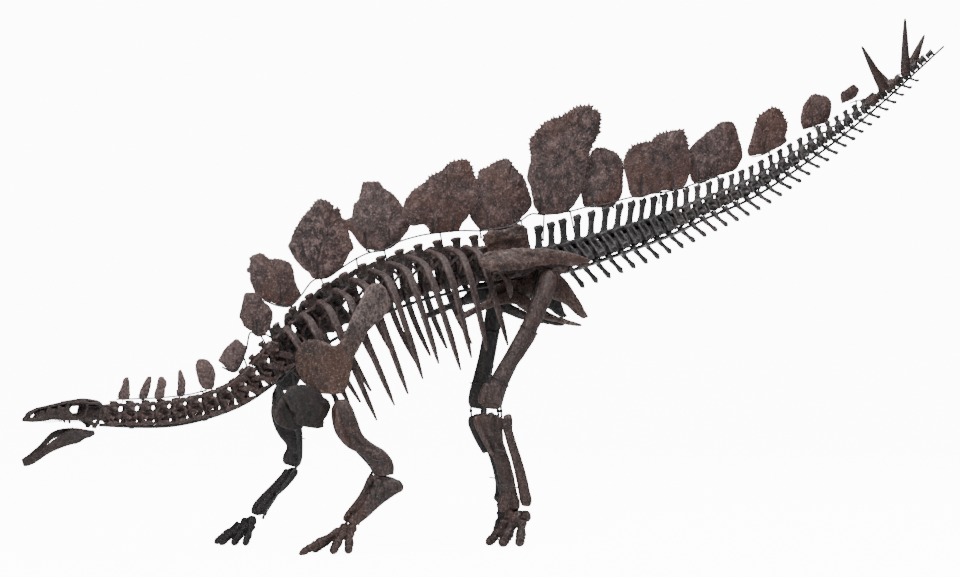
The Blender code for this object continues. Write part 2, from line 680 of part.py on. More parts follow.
def foot(name, block, toes, finish=LIMB_BONE):
    # a wrist or ankle block with toes that stand on the floor
    base = limb(name, block, finish, sides=6, floor=0.0)
    tools = []
    for n, toe in enumerate(toes):
        tools.append(limb(f"{name}_toe_tool_{n}", toe, finish, 5, 0.0))
    return combine(base, tools)


SOLE = 0.48             # a toe's middle stands this share of its half height up, so its sole is cut flat


def front_toe(ankle, y, x_tip, y_tip, size):
    # knuckle, middle and hoof of one toe of the front foot
    x = ankle
    mid_x, mid_y = x + (x_tip - x) * 0.72, y + (y_tip - y) * 0.72
    return (
        (x, y, 0.112, size * 0.85, size * 0.95),
        (mid_x, mid_y, SOLE * size * 0.9, size * 0.9, size),
        (x_tip, y_tip, SOLE * size * 0.5, size * 0.5, size * 0.62),
    )


foot("forefoot_left", (
    (-1.155, -0.335, 0.1505, 0.044, 0.040), (-1.165, -0.335, 0.130, 0.062, 0.056),
    (-1.180, -0.335, 0.104, 0.056, 0.056), (-1.185, -0.335, 0.090, 0.030, 0.030),
), (
    front_toe(-1.215, -0.345, -1.435, -0.375, 0.024),
    front_toe(-1.195, -0.365, -1.265, -0.415, 0.025),
    front_toe(-1.155, -0.366, -1.185, -0.435, 0.024),
    front_toe(-1.195, -0.310, -1.320, -0.270, 0.022),
))
foot("forefoot_right", (
    (-1.446, 0.322, 0.1555, 0.040, 0.040), (-1.458, 0.322, 0.134, 0.056, 0.056),
    (-1.472, 0.322, 0.106, 0.052, 0.056), (-1.478, 0.322, 0.092, 0.030, 0.030),
), (
    front_toe(-1.500, 0.360, -1.612, 0.425, 0.022),
    front_toe(-1.500, 0.335, -1.612, 0.350, 0.024),
    front_toe(-1.478, 0.312, -1.560, 0.285, 0.024),
    front_toe(-1.455, 0.292, -1.512, 0.235, 0.022),
))


def hind_toe(x, y, x_tip, y_tip, size):
    # metatarsal, toe bone and hoof of one toe of the hind foot
    return (
        (x, y, 0.135, size * 0.95, size),
        (x + (x_tip - x) * 0.45, y + (y_tip - y) * 0.5, 0.060, size * 0.85, size * 0.95),
        (x + (x_tip - x) * 0.78, y + (y_tip - y) * 0.8, SOLE * size * 0.8, size * 0.8, size * 0.95),
        (x_tip, y_tip, SOLE * size * 0.5, size * 0.5, size * 0.65),
    )


for side, hand, shift, pull in ((-1, "left", 0.0, 0.0), (1, "right", 0.258, 0.070)):
    foot(f"hindfoot_{hand}", (
        (-0.150 + shift, side * 0.325, 0.183, 0.050, 0.050),
        (-0.152 + shift, side * 0.325, 0.160, 0.074, 0.068),
        (-0.165 + shift, side * 0.325, 0.130, 0.070, 0.068),
        (-0.170 + shift, side * 0.325, 0.112, 0.040, 0.040),
    ), (
        hind_toe(-0.155 + shift, side * 0.368, -0.195 + shift + pull, side * 0.432, 0.030),
        hind_toe(-0.185 + shift, side * 0.335, -0.275 + shift + pull, side * 0.372, 0.033),
        hind_toe(-0.212 + shift, side * 0.298, -0.310 + shift + pull, side * 0.268, 0.030),
    ))

# Back plates: x and z of the middle of the foot, row (left -1, right 1), outline in centimetres from it
PLATES = (
    (-2.275, 0.826, -1, ((-3, 0), (0, 10), (1.5, 11), (3, 10), (3, 0))),
    (-2.160, 0.820, 1, ((-2, 0), (-1.5, 4), (2.5, 11), (4, 11.5), (5, 11), (4.5, 6), (2.5, 0))),
    (-2.085, 0.822, -1, ((-2.5, 0), (-0.5, 10), (1, 11.5), (3, 11), (4.5, 8), (2.5, 0))),
    (-1.950, 0.832, 1, ((-2, 0), (-1.2, 12), (0, 14), (1, 13), (3, 8), (2, 0))),
    (-1.815, 0.864, -1, ((-5, 16), (-1, 16), (2, 13.5), (4, 10), (3.5, 1), (1, 0), (-1.5, 0), (-4, 2),
        (-6, 6), (-7, 10), (-6.8, 13.5))),
    (-1.640, 0.956, 1, ((0, 17), (2.5, 16.5), (5, 14), (7, 13), (4, 5), (2, 2.5), (-2, 0), (-8, 4),
        (-10, 6), (-6, 12), (-3, 15))),
    (-1.540, 1.140, -1, ((-8, 23), (-5, 23.5), (-1, 23), (6, 16), (8, 13), (8, 8), (6, 3), (2, 0),
        (-1, 1), (-8, 5), (-11, 11), (-9, 20))),
    (-1.370, 1.294, 1, ((-18, 26), (-12, 29), (-6, 26), (-1, 26), (5, 24), (7, 20), (8, 14), (11, 7),
        (5, 1), (1, 0), (-14, 6), (-18, 14), (-18, 18), (-20, 19.5), (-18, 22))),
    (-1.195, 1.448, -1, ((-4, 40), (0, 43), (6, 40.5), (7.5, 37), (10, 38), (13, 32), (16, 31),
        (17, 24), (20, 17), (14, 7), (6, 1), (-3, 0), (-14, 10), (-18, 17), (-13, 28), (-6, 37))),
    (-0.810, 1.592, 1, ((-9, 37), (-7, 38), (1, 38), (10, 31), (15, 24), (16, 20), (19, 16), (18, 13),
        (9, 3), (0, 0), (-9, 2), (-20, 15.5), (-16, 19), (-14, 26), (-11, 29))),
    (-0.450, 1.696, -1, ((-25, 18), (-21, 23), (2, 38.5), (10, 40.5), (13, 39.5), (19, 25), (18, 17),
        (8, 2), (3, 0.5), (-9, 0), (-14, 4.5), (-21, 4), (-26, 10), (-26, 14))),
    (-0.090, 1.714, 1, ((-13, 29), (-11, 33), (1, 39), (7, 39.5), (14, 32), (18, 25), (21, 15), (10, 3),
        (6, 0.5), (-10, 0), (-16, 5), (-18, 9), (-14, 18))),
    (0.225, 1.802, -1, ((-18, 38), (-17, 42), (-9, 51), (1, 54.5), (12, 60.5), (19, 61), (25, 57),
        (25, 49), (20, 37), (15, 14), (11, 6), (4, 1), (-8, 0), (-14, 4), (-19, 19), (-19, 24),
        (-17, 32))),
    (0.530, 1.848, 1, ((-5, 28), (-2, 33), (3, 34), (10, 32), (14, 29), (16, 25), (16, 12), (15, 8),
        (12, 3.5), (8, 0.5), (-6, 0), (-10, 2), (-11, 12), (-8, 21))),
    (0.755, 1.902, -1, ((-12, 21), (-10, 26), (-6, 29.5), (6, 32.5), (12, 37), (24, 39.5), (26, 37.5),
        (29, 30), (31, 18), (29, 9), (25, 6), (12, 4), (-2, 0), (-6, 1), (-12, 16))),
    (1.180, 1.994, 1, ((-7, 18), (-4, 22), (5, 29), (14, 35), (19, 36), (24, 35), (27, 27), (29, 19),
        (28, 14), (23, 8), (10, 4), (1, 0), (-3, 0), (-6, 3), (-7, 11))),
    (1.505, 2.152, -1, ((-6, 5), (0, 22), (3, 25), (8, 28), (11, 28.5), (15, 27), (20, 19), (19, 12),
        (20, 9.5), (18, 7.5), (6, 2), (-4, 0), (-6, 2))),
    (1.910, 2.318, 1, ((-6, 5), (-5, 11), (-3, 15), (0, 18.5), (4, 21), (12, 20), (15, 17), (15, 13),
        (13, 6), (5, 2.5), (-3, 0), (-5, 1))),
    (2.130, 2.474, -1, ((-5, 5.5), (3, 11), (6, 10), (8, 8), (6, 4), (4, 2.5), (-4, 0))),
)
ROW_OFFSET = 0.042      # from the mid plane to the foot of a large plate
ROW_LEAN = 0.06         # how far a plate leans out for each metre of height

for n, (base_x, base_z, row, outline) in enumerate(PLATES, 1):
    height = max(p[1] for p in outline) * CM
    offset = ROW_OFFSET if height > 0.2 else ROW_OFFSET * 0.45
    half = PLATE_HALF if height > 0.2 else 0.007

    def plate_surface(x, z, depth, base_x=base_x, base_z=base_z, row=row, offset=offset):
        return Vector((base_x + x, row * (offset + z * ROW_LEAN) + depth, base_z + z))

    metres = [(x * CM, z * CM) for x, z in outline]
    slab(f"plate_{n:02d}", metres, plate_surface, half, PLATE_BONE)

# Tail spikes: base centre, tip, half width and half depth at the base
SPIKES = (
    ((2.375, -0.036, 2.560), (2.170, -0.110, 2.802), 0.034, 0.024),
    ((2.440, 0.036, 2.590), (2.362, 0.110, 2.732), 0.032, 0.024),
    ((2.520, -0.033, 2.652), (2.474, -0.100, 2.975), 0.030, 0.023),
    ((2.600, 0.032, 2.702), (2.742, 0.100, 2.905), 0.030, 0.023),
)
SPIKE_FORM = ((0.0, 0.85), (0.06, 1.05), (0.30, 0.88), (0.60, 0.58), (0.85, 0.28), (1.0, 0.05))
for n, (base, tip, wide, deep) in enumerate(SPIKES, 1):
    base, tip = Vector(base), Vector(tip)
    stations = []
    for share, size in SPIKE_FORM:
        point = base.lerp(tip, share)
        stations.append((*point, wide * size, deep * size))
    limb(f"tail_spike_{n}", stations, PLATE_BONE, 6)


def bar_rings(points, radius, sides=4):
    points = [Vector(p) for p in points]
    stations = []
    for k, p in enumerate(points):
        r = radius(k / (len(points) - 1)) if callable(radius) else radius
        stations.append((*p, r, r))
    return limb_rings(stations, sides)


# Steel bar under the whole column
RAIL_START, RAIL_END = -2.388, 2.7975
RAIL_STEPS = 22
rail = []
for k in range(RAIL_STEPS + 1):
    x = RAIL_START + (RAIL_END - RAIL_START) * k / RAIL_STEPS
    centre, along, up, radius, spine, drop = column_at(x)
    rail.append(centre - up * drop)
bm = bmesh.new()
loft(bm, bar_rings(rail, lambda share: RAIL_RADIUS * (1.0 - 0.35 * max(0.0, share - 0.6) / 0.4)))
add_solid("spine_rail", bm, STEEL)

# Steel rods of the legs, on the inner side of the bones, with a clip to each bone
LEG_RODS = {
    "foreleg_rod_left": (
        ((-1.260, -0.215, 1.020), (-1.200, -0.262, 0.840), (-1.175, -0.272, 0.700), (-1.110, -0.272, 0.580),
         (-0.985, -0.258, 0.450), (-0.985, -0.258, 0.400), (-1.060, -0.262, 0.250), (-1.120, -0.262, 0.170),
         (-1.130, -0.268, 0.150)),
        ((-1.160, -0.310, 0.700), (-1.000, -0.304, 0.470))),
    "foreleg_rod_right": (
        ((-1.255, 0.205, 1.020), (-1.228, 0.250, 0.840), (-1.224, 0.252, 0.700), (-1.195, 0.252, 0.560),
         (-1.200, 0.246, 0.450), (-1.240, 0.246, 0.390), (-1.320, 0.248, 0.280), (-1.390, 0.250, 0.180),
         (-1.400, 0.255, 0.150)),
        ((-1.240, 0.291, 0.690), (-1.200, 0.279, 0.480))),
    "hindleg_rod_left": (
        ((0.030, -0.212, 1.515), (-0.030, -0.224, 1.290), (-0.110, -0.240, 1.130), (-0.200, -0.240, 0.990),
         (-0.300, -0.235, 0.830), (-0.320, -0.230, 0.700), (-0.280, -0.228, 0.520), (-0.225, -0.228, 0.350),
         (-0.185, -0.228, 0.190)),
        ((-0.110, -0.283, 1.160), (-0.262, -0.269, 0.480))),
    "hindleg_rod_right": (
        ((0.045, 0.212, 1.515), (0.020, 0.224, 1.290), (-0.005, 0.240, 1.130), (-0.040, 0.240, 0.960),
         (-0.090, 0.235, 0.800), (-0.085, 0.230, 0.660), (-0.010, 0.228, 0.500), (0.045, 0.228, 0.350),
         (0.070, 0.228, 0.190)),
        ((-0.008, 0.283, 1.150), (0.012, 0.269, 0.465))),
}
for name, (points, clips) in LEG_RODS.items():
    bm = bmesh.new()
    loft(bm, bar_rings(points, ROD_RADIUS))
    rod = add_solid(name, bm, STEEL)
    tools = []
    for n, clip in enumerate(clips):
        clip = Vector(clip)
        best = None
        for a, b in zip(points, points[1:]):
            for s in range(21):
                spot = Vector(a).lerp(Vector(b), s / 20)
                if best is None or (spot - clip).length < (best - clip).length:
                    best = spot
        bm = bmesh.new()
        loft(bm, bar_rings((best, clip), 0.007))
        tools.append(add_solid(f"{name}_clip_tool_{n}", bm, STEEL))
    combine(rod, tools)

# Wires that carry the plates, in the mid plane, with stems down towards the neural spines
WIRE_NECK = (-2.310, -2.200, -2.090, -1.980, -1.880, -1.790)
neck_wire = []
for x in WIRE_NECK:
    centre, along, up, radius, spine, drop = column_at(x)
    neck_wire.append(centre + up * (spine + 0.009))
bm = bmesh.new()
loft(bm, bar_rings(neck_wire, WIRE_RADIUS, 4))
add_solid("plate_wire_neck", bm, STEEL)

WIRE_BACK = (
    (-1.500, 1.335), (-1.423, 1.320), (-1.345, 1.322), (-1.285, 1.362), (-1.211, 1.438), (-1.125, 1.462),
    (-1.049, 1.506), (-0.886, 1.590), (-0.798, 1.610), (-0.716, 1.646), (-0.520, 1.694), (-0.346, 1.712),
    (-0.219, 1.716), (-0.054, 1.744), (0.019, 1.768), (0.090, 1.806), (0.167, 1.806), (0.329, 1.828),
    (0.430, 1.852), (0.560, 1.870), (0.650, 1.894), (0.800, 1.926), (1.028, 1.962), (1.125, 1.994),
    (1.275, 2.034),
)
bm = bmesh.new()
loft(bm, bar_rings([(x, 0.0, z) for x, z in WIRE_BACK], WIRE_RADIUS, 4))
add_solid("plate_wire_back", bm, STEEL)
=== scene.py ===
import math
import random

import bmesh
import bpy
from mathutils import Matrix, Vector, noise


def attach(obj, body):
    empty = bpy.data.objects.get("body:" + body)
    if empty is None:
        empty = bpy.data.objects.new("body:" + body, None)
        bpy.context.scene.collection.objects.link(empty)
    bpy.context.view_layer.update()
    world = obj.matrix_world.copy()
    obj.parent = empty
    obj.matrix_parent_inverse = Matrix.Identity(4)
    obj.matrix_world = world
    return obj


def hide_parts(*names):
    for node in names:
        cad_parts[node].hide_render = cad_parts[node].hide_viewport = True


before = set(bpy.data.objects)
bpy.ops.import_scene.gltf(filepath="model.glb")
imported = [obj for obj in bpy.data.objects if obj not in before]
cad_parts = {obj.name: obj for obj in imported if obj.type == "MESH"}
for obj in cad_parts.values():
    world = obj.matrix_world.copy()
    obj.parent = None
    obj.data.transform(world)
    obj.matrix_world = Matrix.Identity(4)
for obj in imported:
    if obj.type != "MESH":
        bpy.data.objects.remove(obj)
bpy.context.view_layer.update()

# Camera: a long lens at chest height, ahead of square to the animal's left side
camera_data = bpy.data.cameras.new("camera")
camera_data.lens = 109.2
camera_data.sensor_width = 36.0
camera = bpy.data.objects.new("camera", camera_data)
camera.location = (-6.987, -14.501, 1.395)
camera.rotation_euler = (math.radians(90), 0.0, math.radians(-25))
bpy.context.collection.objects.link(camera)
bpy.context.scene.camera = camera

# Studio: a white backdrop and a plain pale floor that meet without a line, with soft lights above and
# ahead of the near side
BACKDROP, DAYLIGHT = 12.0, 0.17


def white_out(tree, shader, inside, strength):
    # the camera sees plain white at this strength, and the lit scene sees what is inside
    seen = tree.nodes.new("ShaderNodeLightPath")
    white = tree.nodes.new(shader)
    white.inputs["Color"].default_value = (1.0, 1.0, 1.0, 1.0)
    white.inputs["Strength"].default_value = strength
    join = tree.nodes.new("ShaderNodeMixShader")
    tree.links.new(seen.outputs["Is Camera Ray"], join.inputs[0])
    tree.links.new(inside, join.inputs[1])
    tree.links.new(white.outputs[0], join.inputs[2])
    return join, white


world = bpy.data.worlds.new("studio")
world.use_nodes = True
day = world.node_tree.nodes["Background"]
day.inputs["Color"].default_value = (0.95, 0.97, 1.0, 1.0)
day.inputs["Strength"].default_value = DAYLIGHT
join, white = white_out(world.node_tree, "ShaderNodeBackground", day.outputs[0], BACKDROP)
world.node_tree.links.new(join.outputs[0], world.node_tree.nodes["World Output"].inputs["Surface"])
bpy.context.scene.world = world
LIGHTS = {
    "key": ((-4.5, -6.5, 7.0), 2.2, 860.0),
    "top": ((0.5, -1.0, 7.5), 4.0, 520.0),
    "rim": ((5.5, 4.5, 5.0), 3.0, 240.0),
}
for name, (place, width, watts) in LIGHTS.items():
    lamp = bpy.data.lights.new(name, "AREA")
    lamp.shape = "DISK"
    lamp.size = width
    lamp.energy = watts
    lamp_object = bpy.data.objects.new(name, lamp)
    lamp_object.location = place
    aim = Vector((-0.2, 0.0, 1.3)) - Vector(place)
    lamp_object.rotation_euler = aim.to_track_quat("-Z", "Y").to_euler()
    bpy.context.collection.objects.link(lamp_object)

FLOOR_HALF, FLOOR_DROP = 40.0, 0.001
floor_mesh = bpy.data.meshes.new("floor")
corners = [(-FLOOR_HALF, -FLOOR_HALF), (FLOOR_HALF, -FLOOR_HALF),
           (FLOOR_HALF, FLOOR_HALF), (-FLOOR_HALF, FLOOR_HALF)]
floor_mesh.from_pydata([(x, y, -FLOOR_DROP) for x, y in corners], [], [(0, 1, 2, 3)])
floor = bpy.data.objects.new("floor", floor_mesh)
bpy.context.collection.objects.link(floor)
floor_paint = bpy.data.materials.new("pale_floor")
floor_paint.use_nodes = True
floor_paint.node_tree.nodes["Principled BSDF"].inputs["Base Color"].default_value = (0.9, 0.9, 0.9, 1.0)
floor_paint.node_tree.nodes["Principled BSDF"].inputs["Roughness"].default_value = 0.9
paint = floor_paint.node_tree.nodes["Principled BSDF"]
join, white = white_out(floor_paint.node_tree, "ShaderNodeEmission", paint.outputs[0], BACKDROP)
shaded = floor_paint.node_tree.nodes.new("ShaderNodeAddShader")
floor_paint.node_tree.links.new(paint.outputs[0], shaded.inputs[0])
floor_paint.node_tree.links.new(white.outputs[0], shaded.inputs[1])
floor_paint.node_tree.links.new(shaded.outputs[0], join.inputs[2])
floor_end = floor_paint.node_tree.nodes["Material Output"]
floor_paint.node_tree.links.new(join.outputs[0], floor_end.inputs["Surface"])
floor_mesh.materials.append(floor_paint)


# Neck: loose vertebrae of mineralised bone, each a waisted body with an arch, a low spine and short
# ribs, threaded on a steel bar. The bones are dark and mottled, with painted shade in their hollows and pale
# rims that are partly wear and partly painted highlight.
COLUMN = (
    (-2.42, 0.735, 0.026, 0.075, 0.045), (-2.20, 0.732, 0.029, 0.080, 0.056),
    (-2.00, 0.742, 0.034, 0.078, 0.064), (-1.80, 0.782, 0.037, 0.070, 0.064),
    (-1.62, 0.852, 0.040, 0.082, 0.068), (-1.46, 0.970, 0.042, 0.125, 0.080),
    (-1.30, 1.092, 0.042, 0.175, 0.080), (-1.10, 1.200, 0.042, 0.215, 0.074),
    (-0.85, 1.310, 0.043, 0.232, 0.066), (-0.55, 1.402, 0.045, 0.240, 0.062),
    (-0.25, 1.460, 0.047, 0.228, 0.062), (0.08, 1.515, 0.049, 0.215, 0.064),
    (0.30, 1.556, 0.050, 0.225, 0.066), (0.60, 1.640, 0.046, 0.212, 0.060),
    (0.90, 1.735, 0.041, 0.178, 0.057), (1.20, 1.855, 0.036, 0.135, 0.056),
    (1.50, 1.975, 0.031, 0.118, 0.054), (1.80, 2.145, 0.027, 0.100, 0.050),
    (2.10, 2.332, 0.022, 0.076, 0.042), (2.35, 2.505, 0.017, 0.052, 0.034),
    (2.60, 2.694, 0.012, 0.030, 0.026), (2.74, 2.800, 0.007, 0.014, 0.020),
    (2.82, 2.862, 0.005, 0.010, 0.018),
)
LENGTHWISE, SIDE, UPRIGHT = Vector((1.0, 0.0, 0.0)), Vector((0.0, 1.0, 0.0)), Vector((0.0, 0.0, 1.0))


def column_at(x):
    # centre, direction, up, half height, spine height and bar drop of the column at x
    i = 1
    while i < len(COLUMN) - 1 and COLUMN[i][0] < x:
        i += 1

    def values(x):
        a, b = COLUMN[i - 1], COLUMN[i]
        before, after = COLUMN[max(i - 2, 0)], COLUMN[min(i + 1, len(COLUMN) - 1)]
        run = b[0] - a[0]
        t = (x - a[0]) / run
        found = []
        for c in range(1, 5):
            slope_a = (b[c] - before[c]) / (b[0] - before[0]) * run
            slope_b = (after[c] - a[c]) / (after[0] - a[0]) * run
            found.append((2 * t**3 - 3 * t**2 + 1) * a[c] + (t**3 - 2 * t**2 + t) * slope_a
                         + (3 * t**2 - 2 * t**3) * b[c] + (t**3 - t**2) * slope_b)
        return found

    z, radius, spine, drop = values(x)
    along = Vector((0.008, 0.0, values(x + 0.004)[0] - values(x - 0.004)[0])).normalized()
    return Vector((x, 0.0, z)), along, Vector((-along.z, 0.0, along.x)), radius, spine, drop


def joints_between(start, end, count, taper=1.0):
    # where the vertebrae meet, each a little longer or shorter than the last
    places = [start + (end - start) * k / 400 for k in range(401)]
    reach = [0.0]
    for a, b in zip(places, places[1:]):
        reach.append(reach[-1] + (column_at(b)[0] - column_at(a)[0]).length)
    shares = [taper ** (k / max(count - 1, 1)) for k in range(count)]
    marks, done = [start], 0.0
    for share in shares:
        done += share / sum(shares) * reach[-1]
        marks.append(places[min(range(401), key=lambda n: abs(reach[n] - done))])
    return marks


def curve_point(p0, p1, p2, p3, t):
    # a share t of the way along the smooth line from p1 to p2, whose neighbours are p0 and p3
    return [0.5 * (2 * b + (c - a) * t + (2 * a - 5 * b + 4 * c - d) * t * t + (3 * b - a - 3 * c + d) * t**3)
            for a, b, c, d in zip(p0, p1, p2, p3)]


def smooth_path(rows, steps=6):
    # a smooth line through rows of any values, with steps points from each row to the next
    fine = []
    for k in range(len(rows) - 1):
        before, after = rows[max(k - 1, 0)], rows[min(k + 2, len(rows) - 1)]
        fine.extend(curve_point(before, rows[k], rows[k + 1], after, s / steps) for s in range(steps))
    fine.append(list(rows[-1]))
    return fine


THINNEST = 0.0008


class Lump:
    # closed lofts that overlap, ready to be fused into one bone surface
    def __init__(self):
        self.points = []
        self.faces = []

    def rings(self, rings):
        first = len(self.points)
        n = len(rings[0])
        for ring in rings:
            self.points.extend(ring)
        for r in range(len(rings) - 1):
            for j in range(n):
                k = (j + 1) % n
                a, b = first + r * n, first + (r + 1) * n
                self.faces.append((a + j, a + k, b + k, b + j))
        self.faces.append(tuple(range(first + n - 1, first - 1, -1)))
        last = first + (len(rings) - 1) * n
        self.faces.append(tuple(range(last, last + n)))

    def bar(self, rows, wide, sides=10, steps=3):
        # rows of (x, y, z, half width along wide, half thickness) on a smooth path
        fine = smooth_path(rows, steps)
        rings = []
        for k, row in enumerate(fine):
            ahead = Vector(fine[min(k + 1, len(fine) - 1)][:3]) - Vector(fine[max(k - 1, 0)][:3])
            ahead.normalize()
            a = (wide - ahead * wide.dot(ahead)).normalized()
            b = ahead.cross(a)
            centre = Vector(row[:3])
            ring = []
            for j in range(sides):
                turn = 2 * math.pi * j / sides
                ring.append(centre + a * math.cos(turn) * max(row[3], THINNEST)
                            + b * math.sin(turn) * max(row[4], THINNEST))
            rings.append(ring)
        self.rings(rings)

    def rod(self, *rows, wide=SIDE, sides=8, steps=2):
        # rows of (point, half width, half thickness)
        self.bar([(*p, a, b) for p, a, b in rows], wide, sides, steps)


def node(tree, kind, inputs=None, **settings):
    # adds a node, with its settings, and with each input set to a value or fed from another node's output
    made = tree.nodes.new(kind)
    for name, value in settings.items():
        setattr(made, name, value)
    for socket, value in (inputs or {}).items():
        if isinstance(value, bpy.types.NodeSocket):
            tree.links.new(value, made.inputs[socket])
        else:
            made.inputs[socket].default_value = value
    return made


def start_tree(name, **inputs):
    # a geometry tree that takes a mesh and the named inputs
    tree = bpy.data.node_groups.new(name, "GeometryNodeTree")
    tree.interface.new_socket("Geometry", in_out="INPUT", socket_type="NodeSocketGeometry")
    for label, kind in inputs.items():
        tree.interface.new_socket(label, in_out="INPUT", socket_type=f"NodeSocket{kind}")
    tree.interface.new_socket("Geometry", in_out="OUTPUT", socket_type="NodeSocketGeometry")
    return tree, node(tree, "NodeGroupInput").outputs


def end_tree(tree, given, geometry):
    # makes every instance real, gives the mesh its material and hands it out
    real = node(tree, "GeometryNodeRealizeInstances", {0: geometry})
    finish = node(tree, "GeometryNodeSetMaterial",
                  {"Geometry": real.outputs[0], "Material": given["Material"]})
    node(tree, "NodeGroupOutput", {0: finish.outputs[0]})
    return tree


def stored(tree, name, kind="FLOAT"):
    # a value kept with each point of the mesh
    return node(tree, "GeometryNodeInputNamedAttribute", {"Name": name}, data_type=kind).outputs["Attribute"]


def relief_tree():
    # sets weathered relief into a bone's surface and keeps how high each point stands and how far it stands
    # proud, from which the bone's colour paints shade into hollows and pale ridges, partly wear and partly
    # painted highlight
    tree, given = start_tree("bone_relief", Coarse="Float", Fine="Float", Pits="Float", Grain="Vector",
                             Edge="Float", Material="Material")
    place = node(tree, "GeometryNodeInputPosition").outputs[0]
    normal = node(tree, "GeometryNodeInputNormal").outputs[0]
    stretched = node(tree, "ShaderNodeVectorMath", {0: place, 1: given["Grain"]},
                     operation="MULTIPLY").outputs[0]

    def sums(kind, a, b):
        return node(tree, "ShaderNodeMath", {0: a, 1: b}, operation=kind).outputs[0]

    def lumps(scale, detail, rough):
        cloudy = node(tree, "ShaderNodeTexNoise",
                      {"Vector": stretched, "Scale": scale, "Detail": detail, "Roughness": rough})
        return sums("SUBTRACT", cloudy.outputs[0], 0.5)

    swells = sums("MULTIPLY", lumps(15.0, 4.0, 0.55), given["Coarse"])
    cells = node(tree, "ShaderNodeTexVoronoi", {"Vector": stretched, "Scale": 46.0}).outputs["Distance"]
    pits = sums("MULTIPLY", sums("MINIMUM", sums("SUBTRACT", cells, 0.34), 0.0), given["Pits"])
    height = sums("ADD", sums("MULTIPLY", lumps(74.0, 5.0, 0.68), given["Fine"]), pits)
    relief_and_painted_shade = sums("ADD", sums("MULTIPLY", height, 1.6), sums("MULTIPLY", swells, 0.4))
    offset = node(tree, "ShaderNodeVectorMath", {0: normal, "Scale": sums("ADD", height, swells)},
                  operation="SCALE")
    move = node(tree, "GeometryNodeSetPosition", {"Geometry": given["Geometry"], "Offset": offset.outputs[0]})
    relief_and_painted_shade = sums("ADD", relief_and_painted_shade, stored(tree, "carved"))
    # edges that stand proud of what is round them are coloured pale, partly as wear and partly as a painted
    # highlight, and hollows are darkened as painted shade
    around = node(tree, "GeometryNodeBlurAttribute", {"Iterations": 10}, data_type="FLOAT_VECTOR")
    tree.links.new(place, next(socket for socket in around.inputs if socket.enabled))
    blurred = next(socket for socket in around.outputs if socket.enabled)
    apart = node(tree, "ShaderNodeVectorMath", {0: place, 1: blurred}, operation="SUBTRACT").outputs[0]
    proud = node(tree, "ShaderNodeVectorMath", {0: apart, 1: normal},
                 operation="DOT_PRODUCT").outputs["Value"]
    edge = sums("MINIMUM", sums("SUBTRACT", proud, 0.0012), 0.0035)
    relief_and_painted_shade = sums("ADD", relief_and_painted_shade, sums("MULTIPLY", edge, given["Edge"]))
    keep = node(tree, "GeometryNodeStoreNamedAttribute",
                {"Geometry": move.outputs[0], "Name": "relief",
                 "Value": sums("ADD", sums("MULTIPLY", relief_and_painted_shade, 160.0), 0.5)},
                data_type="FLOAT", domain="POINT")
    smooth = node(tree, "GeometryNodeSetShadeSmooth", {"Geometry": keep.outputs[0]})
    return end_tree(tree, given, smooth.outputs[0])


RELIEF = relief_tree()


def set_inputs(modifier, **values):
    # sets a modifier's inputs by the identifiers of its tree's sockets
    for item in modifier.node_group.interface.items_tree:
        if item.in_out == "INPUT" and item.name in values:
            modifier[item.identifier] = values[item.name]


def plain(piece):
    # turns a piece with live modifiers into a plain mesh
    bpy.context.view_layer.update()
    graph = bpy.context.evaluated_depsgraph_get()
    mesh = bpy.data.meshes.new_from_object(piece.evaluated_get(graph))
    mesh.name = piece.name
    piece.modifiers.clear()
    piece.data = mesh
    return piece


def bone(name, lump, finish, replaces=(), voxel=0.005, soften=4, coarse=0.004, fine=0.0022,
         pits=0.004, grain=(1, 1, 1), swell=0.0, subdivide=0):
    # fuses a lump's lofts into one skin, weathers it, and fits it to the frame
    mesh = lump
    if isinstance(lump, Lump):
        mesh = bpy.data.meshes.new(name)
        mesh.from_pydata(lump.points, [], lump.faces)
    piece = bpy.data.objects.new(name, mesh)
    bpy.context.collection.objects.link(piece)
    if subdivide:
        rounding = piece.modifiers.new("rounding", "SUBSURF")
        rounding.levels = subdivide
        rounding.render_levels = subdivide
    if swell:
        fuller = piece.modifiers.new("fuller", "DISPLACE")
        fuller.mid_level = 0.0
        fuller.strength = swell
    if voxel:
        fuse = piece.modifiers.new("fuse", "REMESH")
        fuse.mode = "VOXEL"
        fuse.voxel_size = voxel
        blur = piece.modifiers.new("soften", "SMOOTH")
        blur.factor = 0.5
        blur.iterations = soften
    weather = piece.modifiers.new("weather", "NODES")
    weather.node_group = RELIEF
    # Edge sets how strongly hollows are darkened as painted shade and proud edges turn pale, partly wear and
    # partly painted highlight
    set_inputs(weather, Coarse=coarse, Fine=fine, Pits=pits, Grain=grain, Edge=0.7 if voxel else 0.2,
               Material=finish)
    plain(piece)
    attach(piece, "root")
    if replaces:
        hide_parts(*replaces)
    return piece


def cloud(tree, place, size, detail, rough=0.6):
    # a cloudy pattern whose patches are about one part in size of a metre
    return node(tree, "ShaderNodeTexNoise",
                {"Vector": place, "Scale": size, "Detail": detail, "Roughness": rough}).outputs[0]


def ramp(tree, value, *stops):
    # turns a value into colours, from (value, colour) stops
    made = node(tree, "ShaderNodeValToRGB", {0: value})
    band = made.color_ramp
    while len(band.elements) < len(stops):
        band.elements.new(0.5)
    for element, (spot, colour) in zip(band.elements, stops):
        element.position = spot
        element.color = (*colour, 1.0)
    return made.outputs[0]


def mix(tree, amount, a, b):
    # one colour laid over another, each a colour or an output
    a, b = ((*value, 1.0) if isinstance(value, tuple) else value for value in (a, b))
    return node(tree, "ShaderNodeMix", {0: amount, 6: a, 7: b}, data_type="RGBA").outputs[2]


def times(tree, value, amount):
    return node(tree, "ShaderNodeMath", {0: value, 1: amount}, operation="MULTIPLY").outputs[0]


WHITE, BLACK = (1.0, 1.0, 1.0), (0.0, 0.0, 0.0)


